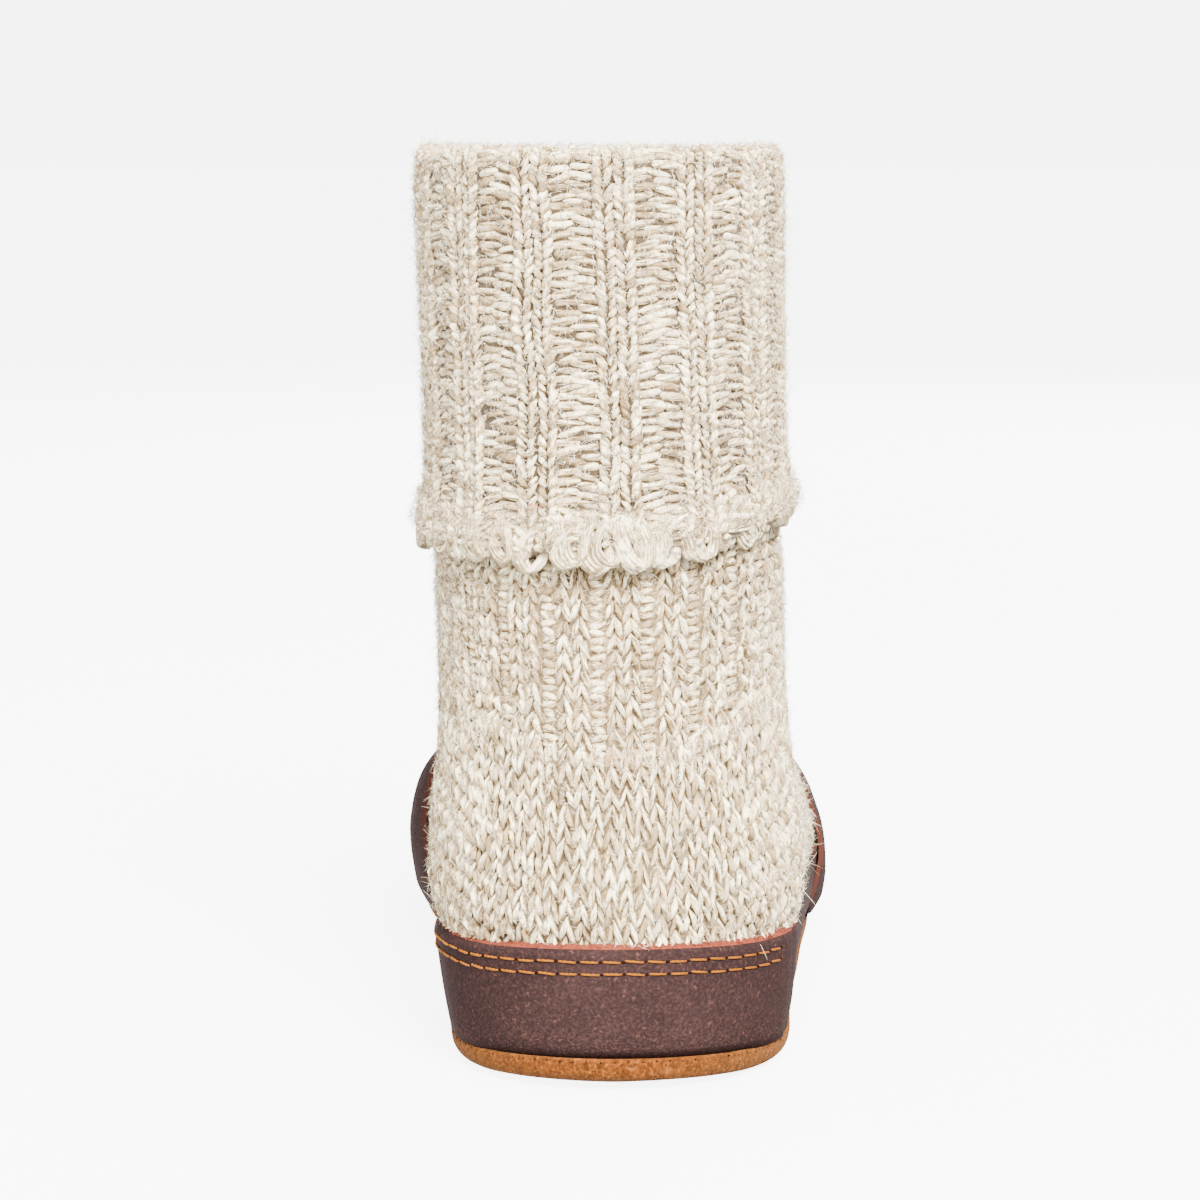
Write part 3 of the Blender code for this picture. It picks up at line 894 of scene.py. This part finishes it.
footStitches = Spots()
for wale in range(foot["wales"]):
    middle = wale - foot["wales"] / 2 + 0.5
    for row in footFabric.evenRows(middle, foot["row"], 0.3 * foot["row"]):
        point, out, up, side = footFabric.spot(row, middle)
        if row < footFabric.rows - 2 and not underShoe(point, out):
            addKnit(footStitches, footFabric, row, middle, foot["row"], 15, 3.9 * mm)
settle(scatter("foot_stitches", legForm, footStitches.table(), yarn, 0.11 * mm), "wool")


# The knit's own body, drawn in so that the stitches lie in it; its inside and its hem are napped
drawnIn = {
    "fold": 0.0,
    "hem": 1.9 * mm,
    "inside": 0.5 * mm,
    "cuff": 1.45 * mm,
    "shaft": 1.25 * mm,
    "foot": 0.95 * mm,
}


def inHem(place):
    # on the bead at the cuff's end, outside the shaft
    middle = shaftMiddle(place.z)
    across = Vector((place.x - middle.x, place.y - middle.y, 0))
    angle = math.atan2(across.x, -across.y)
    if place.y > -30 * mm or not -4 * mm < place.z - hemHeight(angle) < 10 * mm:
        return False
    low = hemHeight(angle) - 5 * mm
    shaftSide = outerKnit(low, across.normalized())[0]
    return across.length > (shaftSide - shaftMiddle(low)).length + 0.2 * mm


def makeGround():
    bm = upperForm.copy()
    bm.normal_update()
    parts = {"hem": set(), "inside": set(), "fold": set()}
    for face in bm.faces:
        middle = face.calc_center_median()
        if inHem(middle):
            face.material_index = 2
            parts["hem"].update(face.verts)
            continue
        atCuff = middle.z > 95 * mm and middle.y < -35 * mm
        if atCuff and face.normal.dot(middle - shaftMiddle(middle.z)) > 0:
            continue
        hit, _, _, gap = knitTree.ray_cast(middle + face.normal * 0.3 * mm, face.normal, 0.12)
        if hit:
            face.material_index = 1
            parts["inside"].update(face.verts)
            if gap < 4 * mm:
                parts["fold"].update(face.verts)

    def partOf(v):
        for part in ("fold", "hem", "inside"):
            if v in parts[part]:
                return part
        if v.co.z > 100 * mm and v.co.y < -35 * mm:
            return "cuff"
        return "shaft" if 66 * mm < v.co.z <= 100 * mm and v.co.y < -40 * mm else "foot"

    steps = {v: v.normal * drawnIn[partOf(v)] for v in bm.verts}
    for v, step in steps.items():
        if v in parts["hem"]:
            across = v.co.x / cuff["radius"]
            step.z -= (1.0 + 1.8 * ramp(0.6, 1.0, across) + 1.5 * ramp(0.3, 0.9, -across)) * mm
        v.co -= step
    piece = linkMesh("knit_ground", bm, gapShade)
    piece.data.materials.append(lining.material)
    piece.data.materials.append(hemLoopShade.material)
    return piece


settle(makeGround(), "wool", "upper")
print("knit done")


# Bent bundles of yarn for the hem's cast-off loops
def rounded(points):
    # a smooth line through the points, with one more between each two
    points = [np.array(p) for p in points]
    line = [points[0]]
    for i, (a, b) in enumerate(zip(points, points[1:])):
        before, after = points[max(i - 1, 0)], points[min(i + 2, len(points) - 1)]
        line += [(9 * (a + b) - before - after) / 16, b]
    return line


def makeLoopForm(name, points, thick, strands):
    # points in mm: across, up, out of the cloth; each strand is swept along them, a little off the next
    bm = bmesh.new()
    sides, tip = 5, 0.55
    sheet = bm.loops.layers.uv.new("UVMap")
    step, turn = bm.verts.layers.int.new("step"), bm.verts.layers.int.new("turn")
    points = rounded(points)
    for across, outward in strands:
        path = []
        for i, p in enumerate(points):
            part = math.sin(math.pi * i / (len(points) - 1))
            path.append((Vector(p) + Vector((across, 0.4 * across, outward)) * (0.3 + 0.7 * part)) * mm)
        ring = bmesh.ops.create_circle(bm, cap_ends=True, radius=0.5 * thick * mm, segments=sides)["verts"]
        face = ring[0].link_faces[0]
        for i, loop in enumerate(face.loops):
            loop.vert[turn] = i
        heading = (path[1] - path[0]).normalized()
        facing = Vector((0, 0, 1)).rotation_difference(heading).to_matrix()
        bmesh.ops.scale(bm, verts=ring, vec=(tip, tip, tip))
        bmesh.ops.rotate(bm, verts=ring, matrix=facing)
        bmesh.ops.translate(bm, verts=ring, vec=path[0])
        for i in range(1, len(path)):
            ahead = (path[min(i + 1, len(path) - 1)] - path[i - 1]).normalized()
            face = extruded(bm, face)
            if i in (1, len(path) - 1):
                size = 1 / tip if i == 1 else tip
                origin = Matrix.Translation(-path[i - 1])
                bmesh.ops.scale(bm, verts=face.verts, vec=(size, size, size), space=origin)
            turning = heading.rotation_difference(ahead).to_matrix()
            bmesh.ops.rotate(bm, verts=face.verts, cent=path[i - 1], matrix=turning)
            bmesh.ops.translate(bm, verts=face.verts, vec=path[i] - path[i - 1])
            for v in face.verts:
                v[step] = i
            heading = ahead
    for f in bm.faces:
        for loop in f.loops:
            loop[sheet].uv = (2 * abs(2 * loop.vert[turn] / sides - 1), 4 * loop.vert[step] / len(points))
    return closeForm(name, bm, False)


hem = {  # lengths in mm
    "loops": 84,
    "thick": 1.05,
    "outward": -1.35,
    "lean": 28,
    "strands": [(-0.85, -0.2), (-0.35, 0.3), (0.3, 0.4), (0.85, -0.1)],  # across, outward
    "order": (0, 1, 2, 1, 0, 1, 1, 2, 0),
    "kinds": [  # name, how far its middle hangs down, size, path
        ("bight", 0.7, 1.0, [(-1.4, 4.8, -1.6), (-2.0, 2.4, 0.0), (-1.9, -0.6, 0.5), (-0.8, -3.0, 0.4),
                             (0.8, -3.1, 0.4), (1.7, -0.9, 0.5), (1.5, 2.0, 0.0), (0.6, 4.2, -1.6)]),
        ("ess", 0.8, 1.0, [(1.7, 5.0, -1.6), (1.0, 3.2, 0.1), (-0.6, 1.8, 0.6), (-1.7, -0.5, 0.4),
                           (-0.9, -2.8, 0.5), (0.7, -3.4, 0.4), (1.8, -2.0, -0.2), (1.5, 0.0, -1.6)]),
        ("curl", 3.6, 0.9, [(-1.6, -1.8, -1.6), (-2.0, 0.2, 0.2), (-1.0, 2.1, 0.6), (0.6, 2.3, 0.6),
                            (1.7, 0.6, 0.4), (1.1, -1.5, 0.2), (0.0, -2.1, -1.4)]),
    ],
}


def hemFoot(angle):
    # the height where the folded cuff ends, found on the upper itself
    way = fromHeel(angle)

    def reach(z):
        return (outerKnit(z, way)[0] - shaftMiddle(z)).dot(way)

    high = hemHeight(angle) + 5 * mm
    least = reach(high) - 2.4 * mm
    return max(lastWhere(high, high - 12 * mm, lambda z: reach(z) > least), hemHeight(angle) - 1.0 * mm)


def makeHem(h):
    # bights that hang from the cuff's last row and curl at the bottom, side by side and over each other
    spots = [Spots() for _ in h["kinds"]]
    for i in range(h["loops"]):
        wale = cuff["wales"] * (i / h["loops"] - 0.5) + spread(0.16)
        point, out, up, side = cuffFabric.spot(cuffFabric.rows - 1.2, wale)
        middle = shaftMiddle(point.z)
        angle = math.atan2(point.x - middle.x, middle.y - point.y)
        outerSide = math.sin(angle)
        up, side = Vector((0, 0, 1)), side.normalized()
        out = (out - up * out.z).normalized()
        kind = h["order"][i % len(h["order"])]
        _, hang, size, _ = h["kinds"][kind]
        rise = 3.4 + hang + spread(0.6) - 0.9 * min(0.0, outerSide) + 2.4 * ramp(0.6, 1.0, outerSide)
        point.z = hemFoot(angle) + rise * mm
        lean = math.radians(spread(h["lean"]))
        along = up * math.cos(lean) + side * math.sin(lean)
        size *= 1.16 + spread(0.16)
        outward = h["outward"] - 0.9 * abs(outerSide) - 0.7 * max(0.0, outerSide) + spread(0.7)
        sizes = (size, size * (1 + spread(0.1)), size)
        spots[kind].add(point + out * outward * mm, along, out, sizes, 0.85 * chance.random())
    for (name, _, _, path), places in zip(h["kinds"], spots):
        form = makeLoopForm(name, path, h["thick"], h["strands"])
        settle(scatter("hem_" + name, form, places.table(), yarn, 0.08 * mm), "wool")


makeHem(hem)


# Loose hairs: straight short ones by the thousand, and longer curved ones that stray
def makeSpike():
    bm = bmesh.new()
    cone = bmesh.ops.create_cone(bm, cap_ends=True, segments=3, radius1=0.5, radius2=0.0, depth=1.0)
    bmesh.ops.rotate(bm, verts=cone["verts"], matrix=Matrix.Rotation(math.radians(-90), 3, "X"))
    bmesh.ops.translate(bm, verts=cone["verts"], vec=(0, 0.5, 0))
    return closeForm("spike", bm)


spikeForm = makeSpike()
strayStations = [(0.0, 1.0, 0.0, 0.0), (0.35, 0.9, 1.5, 1.2), (0.7, 0.7, 2.2, 3.5), (1.0, 0.3, 2.0, 7.0)]
strayForm = makeStitchForm("stray", 3, strayStations)


def makeHairs(name, form, fabric, count, rows, longest, thick, stand, low=0.3, keep=None):
    # rows, thick and stand are ranges; stand is how steeply hairs rise, low how far out in mm they start
    row = mix(rows[0], rows[1], chance.random(count))
    point, out, up, side = fabric.spots(row, fabric.wales * (chance.random(count) - 0.5))
    up, side = unit(up), unit(side)
    bearing = chance.random((count, 1)) * 2 * math.pi
    lift = mix(stand[0], stand[1], chance.random((count, 1)) ** 1.5)
    along = unit(side * np.cos(bearing) + up * np.sin(bearing) + out * lift)
    length = longest * mix(0.3, 1.0, chance.random((count, 1)) ** 2)
    width = mix(thick[0], thick[1], chance.random((count, 1)))
    point = point + out * mix(low, low + 0.6, chance.random((count, 1))) * mm
    table = np.hstack([point, along, out, width, length, width, chance.random((count, 1))])
    if keep:
        table = table[[keep(Vector(line[0:3]), Vector(line[6:9])) for line in table]]
    return settle(scatter(name, form, table, hairs), "wool")


def overShoe(point, out):
    return shoeTree.ray_cast(point - out * 0.8 * mm, out, 0.012)[0] is None


short, fine = (0.07 * mm, 0.13 * mm), (0.06 * mm, 0.09 * mm)
cuffRows = (cuff["insideRows"] - 2, cuffFabric.rows - 1)
hemRows = (cuffFabric.rows - 5, cuffFabric.rows - 1.1)
shaftRows, footRows = (2, shaftFabric.rows - 1), (0, footFabric.rows - 12)
makeHairs("cuff_fuzz", spikeForm, cuffFabric, 38000, cuffRows, 3.2 * mm, short, (0.0, 0.9), -0.4)
makeHairs("shaft_fuzz", spikeForm, shaftFabric, 13000, shaftRows, 3.2 * mm, short, (0.0, 0.9))
makeHairs("foot_fuzz", spikeForm, footFabric, 40000, footRows, 3.2 * mm, short, (0.0, 0.9), 0.3, overShoe)
makeHairs("cuff_strays", strayForm, cuffFabric, 1500, cuffRows, 6.0 * mm, fine, (0.1, 1.1), -0.2)
makeHairs("foot_strays", strayForm, footFabric, 1800, footRows, 6.0 * mm, fine, (0.1, 1.1), 0.4, overShoe)
makeHairs("hem_fuzz", spikeForm, cuffFabric, 2200, hemRows, 3.4 * mm, short, (0.2, 1.4), 0.4)
print("hem and hairs done")


# Leather, its raw edge, suede, felt and thread
def leatherFinish():
    # oiled nubuck: even brown, with fine pale and dark grains and a few rubbed places
    f = Finish("brown leather", {"Roughness": 0.9, "Specular IOR Level": 0.02})
    where = f.place()
    clouds = f.cloud(where, 55.0, 4.0, 0.6)
    grain = f.cloud(where, 1500.0, 3.0, 0.7)
    flecks = f.cloud(where, 780.0, 2.0, 0.6)
    scuffs = f.cloud(f.place((1.0, 1.0, 2.0)), 170.0, 4.0, 0.65)
    fray = f.cloud(f.place((1.0, 1.0, 1.5)), 1700.0, 3.0, 0.6)
    worn = f.coordinate(2).range(17 * mm, 6 * mm)  # just above the sole
    f.layers(rgb(0.124, 0.082, 0.078),
             (clouds.range(0.3, 0.7), (0.144, 0.098, 0.093)),
             (grain.range(0.45, 0.70, 0.6), (0.235, 0.16, 0.147)),
             (grain.range(0.47, 0.30, 0.6), (0.095, 0.058, 0.053)),
             (flecks.range(0.62, 0.74, 0.5), (0.34, 0.22, 0.19)),
             (fray.range(0.52, 0.70, 0.5) * (worn + 0.15), (0.35, 0.235, 0.205)),
             (scuffs.range(0.60, 0.75, 0.35), (0.25, 0.168, 0.155)))
    f.bump(grain * 0.6 + flecks * 0.4, 0.3 * mm, 0.6)
    return f


def rawEdgeFinish(name, light, dark, stain):
    # the cut side of the hide, browner toward the toe
    f = Finish(name, {"Roughness": 0.95, "Specular IOR Level": 0.05})
    fibre = f.cloud(f.place(), 1600.0, 4.0, 0.7)
    patch = f.cloud(f.place(), 420.0, 3.0, 0.6)
    f.layers(rgb(*light),
             (fibre.range(0.35, 0.68), dark),
             (patch.range(0.50, 0.68, 0.7), stain),
             (f.coordinate(1).range(-88 * mm, -55 * mm, 0.85), (0.235, 0.125, 0.095)))
    f.bump(fibre, 0.5 * mm, 1.0)
    return f


def suedeFinish():
    f = Finish("tan suede", {"Roughness": 0.95, "Specular IOR Level": 0.05, "Sheen Weight": 0.1,
                             "Sheen Roughness": 0.5, "Sheen Tint": rgb(1.0, 0.75, 0.45)})
    nap = f.cloud(f.place(), 1300.0, 4.0, 0.7)
    brushed = f.cloud(f.place((1.0, 1.0, 0.8)), 480.0, 4.0, 0.7, 0.6)
    f.layers(rgb(0.375, 0.193, 0.048),
             (brushed.range(0.40, 0.60), (0.262, 0.124, 0.022)),
             (nap.range(0.48, 0.66, 0.75), (0.165, 0.073, 0.014)),
             (nap.range(0.46, 0.32, 0.65), (0.55, 0.33, 0.135)))
    f.bump(nap, 0.7 * mm, 0.9)
    return f


def feltFinish():
    f = Finish("felt", {"Roughness": 0.98, "Specular IOR Level": 0.1, "Sheen Weight": 0.2})
    fibre = f.cloud(f.place(), 700.0, 4.0, 0.7, 1.5)
    f.layers(rgb(0.80, 0.75, 0.67), (fibre.range(0.35, 0.65), (0.64, 0.57, 0.49)))
    f.bump(fibre, 0.8 * mm, 0.8)
    return f


def threadFinish():
    # two twisted plies in gold brown
    f = Finish("waxed thread", {"Roughness": 0.7, "Specular IOR Level": 0.1})
    along = f.add("ShaderNodeMapping", inputs={"Vector": f.add("ShaderNodeUVMap"), "Rotation": (0, 0, 0.9)})
    twist = f.add("ShaderNodeTexWave", inputs={"Vector": along, "Scale": 1.6})
    f.layers(rgb(0.40, 0.205, 0.002), (twist.range(0.15, 0.85), (0.66, 0.39, 0.008)))
    f.bump(twist, 0.2 * mm, 0.8)
    return f


leather, suede, felt, thread = leatherFinish(), suedeFinish(), feltFinish(), threadFinish()
rawEdge = rawEdgeFinish("raw leather edge", (0.47, 0.225, 0.16), (0.34, 0.15, 0.105), (0.25, 0.115, 0.085))
rubbedEdge = rawEdgeFinish(
    "rubbed leather edge", (0.30, 0.16, 0.12), (0.21, 0.11, 0.085), (0.16, 0.085, 0.065))
# the needle holes are flat dark discs: painted shade of the holes
look = {"Base Color": rgb(0.09, 0.05, 0.04), "Roughness": 1.0, "Specular IOR Level": 0.0}
holeShade = Finish("needle hole", look)


# A loft of closed rings, all with the same count of points, by extruding one face from ring to ring
def ringLoft(rings, edgeTurns):
    bm = bmesh.new()
    count = len(rings[0])
    bmesh.ops.create_circle(bm, cap_ends=True, radius=mm, segments=count)
    order = bm.verts.layers.int.new("order")
    bm.verts.ensure_lookup_table()
    face = bm.faces[:][0]
    for i, loop in enumerate(face.loops):
        loop.vert[order] = i
    for v in face.verts:
        v.co = Vector(rings[0][v[order]])
    for ring in rings[1:]:
        face = extruded(bm, face)
        for v in face.verts:
            v.co = Vector(ring[v[order]])
    closeShell(bm)
    for f in bm.faces:
        f.smooth = len(f.verts) < count
        steps = sorted({v[order] for v in f.verts})
        f.material_index = int(steps[0] in edgeTurns and steps == [steps[0], steps[0] + 1])
    for edge in bm.edges:
        edge.smooth = len({f.material_index for f in edge.link_faces}) == 1
    bm.verts.layers.int.remove(order)
    return bm


def evened(field, passes, across=True):
    # a light smoothing of a grid of places, its border kept
    field = field.copy()
    for _ in range(passes):
        field[1:-1] = 0.25 * field[:-2] + 0.5 * field[1:-1] + 0.25 * field[2:]
        if across:
            field[:, 1:-1] = 0.25 * field[:, :-2] + 0.5 * field[:, 1:-1] + 0.25 * field[:, 2:]
    return field


def gridNormals(places):
    normals = unit(np.cross(np.gradient(places, axis=0), np.gradient(places, axis=1)))
    return normals * np.sign((normals * (places - places.mean(axis=(0, 1)))).sum())


# The leather is cut from sheet: its outside is found on the frame's piece, from the raw edge down
bandSheet = {"thick": 1.5 * mm, "innerRise": 0.75 * mm, "ragged": 0.12 * mm}
capSheet = {"thick": 1.0 * mm, "innerRise": 0.3 * mm, "ragged": 0.08 * mm}


def makeLeather(name, places, sheet, edgeFinish, node):
    # places: columns of points from the raw edge to the sole; the outside, then the edge, then the inside
    normals = gridNormals(places)
    ups = unit(places[:, 0] - places[:, 1])
    wavers = sheet["ragged"] * chance.normal(0, 1, len(places))
    rings = []
    for column, normal, up, waver in zip(places, normals, ups, wavers):
        top, inside = column[0], column - normal * sheet["thick"]
        rim = [top, top + up * (0.12 * mm + waver) - normal[0] * 0.30 * mm,
               top + up * (0.5 * sheet["innerRise"] + waver) - normal[0] * 0.55 * sheet["thick"],
               inside[0] + up * (sheet["innerRise"] + waver)]
        rings.append(list(column[::-1]) + rim + list(inside[1::3]) + [inside[-1]])
    last = places.shape[1]
    piece = linkMesh(name, ringLoft(rings, {last, last + 1, last + 2}), leather)
    piece.data.materials.append(edgeFinish.material)
    settle(piece, "leather", node)
    return places, normals


band = {
    "columns": 230,
    "levels": 13,
    "frontY": 16 * mm,
    "turnY": -78 * mm,
    "middleX": 1.2 * mm,
    "around": 46 * mm,  # radius of the turn round the heel
    "somewhere": 14 * mm,  # a height that is on the band all the way round
    "seamY": (-72 * mm, -100 * mm),  # inner and outer end of the heel piece
    "lap": 0.5 * mm,
}


def aheadOfSeam(places):
    # the columns in front of the heel piece's end, which is further back on the outer side
    inner, outer = band["seamY"]
    return places[:, 0, 1] > np.where(places[:, 0, 0] > 0, outer, inner)


def bandPlaces(b):
    # walks from the inner side's front round the heel to the outer side's front
    tree = treeOf("heel_band")
    straight = b["frontY"] - b["turnY"]
    bend = math.pi * b["around"]
    columns = []
    for run in np.linspace(0, 2 * straight + bend, b["columns"]):
        if run < straight:
            start, way = Vector((-80 * mm, b["frontY"] - run, 0)), Vector((1, 0, 0))
        elif run < straight + bend:
            angle = math.pi * (run - straight) / bend
            way = Vector((math.cos(angle), math.sin(angle), 0))
            start = Vector((b["middleX"], b["turnY"], 0)) - way * (80 * mm)
        else:
            start, way = Vector((80 * mm, b["turnY"] + run - straight - bend, 0)), Vector((-1, 0, 0))

        def hit(z):
            return tree.ray_cast(start + Vector((0, 0, z)), way, 62 * mm)[0]

        top = lastWhere(b["somewhere"], 40 * mm, hit) - 0.05 * mm
        bottom = lastWhere(b["somewhere"], 2 * mm, hit) + 0.05 * mm
        heights = [mix(top, bottom, t) for t in np.linspace(0, 1, b["levels"])]
        columns.append([hit(z) or hit(b["somewhere"]) for z in heights])
    places = evened(np.array(columns), 5, False)
    places[:, -1] += unit(places[:, -1] - places[:, -3]) * 0.5 * mm
    # the heel piece laps over the side pieces
    ahead = aheadOfSeam(places)
    places[ahead] -= gridNormals(places)[ahead] * b["lap"]
    # both ends run on under the cap
    inward = np.array((0.55, 0, 0))
    inner = unit(places[0] - places[4]) * 2.2 + inward
    outer = unit(places[-1] - places[-5]) * 2.2 - inward
    start = [places[0] + inner * k * mm for k in (3, 2, 1)]
    end = [places[-1] + outer * k * mm for k in (1, 2, 3)]
    return np.array(start + list(places) + end)


bandGrid, bandOut = makeLeather("band_leather", bandPlaces(band), bandSheet, rawEdge, "heel_band")

cap = {
    "columns": 150,
    "levels": 42,
    "middle": (0.0, 46.0, 10.0),
    "edge": [(-6.0, 134.0), (6.0, 135.0), (14.0, 138.0), (21.0, 144.0), (28.0, 153.0),  # height, station
             (35.0, 164.0), (43.0, 178.0), (51.0, 192.0), (62.0, 204.0)],
    "stationToY": 128.5,
    "hug": 1.0 * mm,
    "hugOver": 12 * mm,
    "tuck": 1.8 * mm,
    "tuckOver": 30 * mm,
    "rearTurn": math.radians(97),  # how far the rear edge goes round, from straight up
    "toeTurn": math.radians(130),  # how far the sole's line goes round, from straight ahead
    "lowest": 5.6 * mm,
}


def capEdgeY(z):
    heights, stations = zip(*cap["edge"])
    return (float(np.interp(z / mm, heights, stations)) - cap["stationToY"]) * mm


def capPlaces(c):
    # arcs over the foot, from the rear edge to the sole's line round the toes, like a visor's
    tree = treeOf("toe_cap")
    middle = Vector(c["middle"]) * mm

    def outermost(way):
        return tree.ray_cast(middle + way * 0.15, -way, 0.15)[0]

    def lowest(bearing):
        way = Vector((math.sin(bearing), math.cos(bearing), 0))

        def hit(z):
            return tree.ray_cast(Vector((middle.x, middle.y, z)) + way * 0.15, -way, 0.15)[0]

        return hit(lastWhere(14 * mm, 2 * mm, hit) + 0.05 * mm)

    def rearmost(angle):
        # the edge leans forward as it rises, so its height is found in a few steps
        way = Vector((math.sin(angle), 0, math.cos(angle)))
        z, rear = 60 * mm, None
        for _ in range(16):
            centre = Vector((0, capEdgeY(z) + 0.15 * mm, middle.z))
            found = tree.ray_cast(centre + way * 0.12, -way, 0.12)[0]
            if found is None:
                break
            rear = found
            z = 0.5 * (z + max(c["lowest"], found.z))
        return rear

    places = []
    for share in np.linspace(-0.985, 0.985, c["columns"]):
        rear, toe = rearmost(share * c["rearTurn"]), lowest(share * c["toeTurn"])
        if rear is None or toe is None:
            continue
        first, last = (rear - middle).normalized(), (toe - middle).normalized()
        arc = [rear]
        for t in np.linspace(0, 1, c["levels"])[1:]:
            arc.append(outermost(first.slerp(last, t)) or arc[-1])
        places.append(arc)
    places = evened(np.array(places), 4)
    # the rear edge hugs the knit, and the two rear corners tuck in beside the heel band
    run = np.cumsum(np.linalg.norm(np.diff(places, axis=1, prepend=places[:, :1]), axis=2), axis=1)
    away = unit((places - middle) * np.array((1, 0, 1)))
    hug = np.clip(1 - run / c["hugOver"], 0, 1) ** 2 * c["hug"]
    corner = np.clip((np.abs(np.linspace(-1, 1, len(places))) - 0.84) / 0.16, 0, 1)[:, None]
    tuck = corner * np.clip(1 - run / c["tuckOver"], 0, 1) * c["tuck"]
    return places - away * (hug + tuck)[:, :, None]


capGrid, capOut = makeLeather("cap_leather", capPlaces(cap), capSheet, rubbedEdge, "toe_cap")


# Rows of stitching along a leather edge, and flat dark discs of painted shade for the needle holes between
# the stitches
seam = {
    "pitch": 4.5 * mm,
    "length": 4.0 * mm,
    "thick": 0.45 * mm,
    "hole": 1.0 * mm,
    "bandRows": (2.5 * mm, 5.0 * mm),
    "capRow": 2.6 * mm,
}
soleSeam = {  # its thread lies hidden under the band
    "pitch": 2.8 * mm,
    "length": 0,
    "hole": 0.55 * mm,
    "drop": 0.3 * mm,
}
threadStations = [(-0.5, 0.5, -0.9, 0), (-0.38, 1.0, 0.0, 0), (0.0, 1.08, 0.12, 0), (0.38, 1.0, 0.0, 0),
                  (0.5, 0.5, -0.9, 0)]
threadForm = makeStitchForm("thread", 6, threadStations)
holeStations = [(-0.5, 0.4, 0.0, 0), (-0.2, 1.0, 0.0, 0), (0.2, 1.0, 0.0, 0), (0.5, 0.4, 0.0, 0)]
holeForm = makeStitchForm("hole", 6, holeStations)
threads, holes = Spots(), Spots()


def rowAlong(grid, outs, depth, first, last):
    # the line on a leather grid at a depth below its raw edge
    points, ways = [], []
    for column, normal in zip(grid[first:last], outs[first:last]):
        lengths = runAlong(column)
        points.append(readAt(depth, lengths, column))
        ways.append(readAt(depth, lengths, normal))
    return np.array(points), np.array(ways)


def sewRow(points, ways, kind):
    lengths = runAlong(points)

    def at(run):
        return Vector(readAt(run, lengths, points)), Vector(readAt(run, lengths, ways)).normalized()

    pitch = kind["pitch"]
    for run in np.arange(pitch, lengths[-1] - pitch, pitch):
        point, out = at(run)
        along = at(run + 0.4 * pitch)[0] - at(run - 0.4 * pitch)[0]
        across = along.normalized().cross(out)
        nudge = across * spread(0.10) * mm
        if kind["length"]:
            tilt = along.normalized() + across * (0.05 + spread(0.05))
            thick = kind["thick"]
            size = (thick * (1 + spread(0.08)), kind["length"] * (1 + spread(0.04)), thick)
            threads.add(point + nudge + out * 0.16 * mm, tilt, out, size)
        size = kind["hole"] * (1 + spread(0.3))
        place = at(run + 0.5 * pitch)[0] + nudge + out * 0.02 * mm
        holes.add(place, along, out, (0.6 * size, 0.75 * size, 0.2 * size))


behind = np.flatnonzero(~aheadOfSeam(bandGrid))
for depth in seam["bandRows"]:
    sewRow(*rowAlong(bandGrid, bandOut, depth, behind[0], behind[-1]), seam)
# the cap is sewn over the instep and at its rear corners; its sides stand free
for first, last in ((36, -36), (3, 9), (-9, -3)):
    sewRow(*rowAlong(capGrid, capOut, seam["capRow"], first, last), seam)
soleTree = treeOf("outsole")
soleLine = []
for low, out in zip(bandGrid[:, -1], bandOut[:, -1]):
    way = Vector((out[0], out[1], 0)).normalized()
    hit = soleTree.ray_cast(Vector(low) + way * 8 * mm - Vector((0, 0, soleSeam["drop"])), -way, 20 * mm)[0]
    if hit:
        soleLine.append((hit, way))
points, ways = (np.array(v) for v in zip(*soleLine))
sewRow(points, ways, soleSeam)
settle(scatter("thread_rows", threadForm, threads.table(), thread), "thread")
settle(scatter("needle_holes", holeForm, holes.table(), holeShade), "leather")
print("stitching done", len(threads.lines))


settle(linkMesh("suede_sole", smoothed(mergedCopy("outsole", 35), 2, 40), suede), "suede", "outsole")
settle(linkMesh("felt_insole", smoothed(mergedCopy("insole", 35), 2), felt), "felt", "insole")
print("leather and sole made")
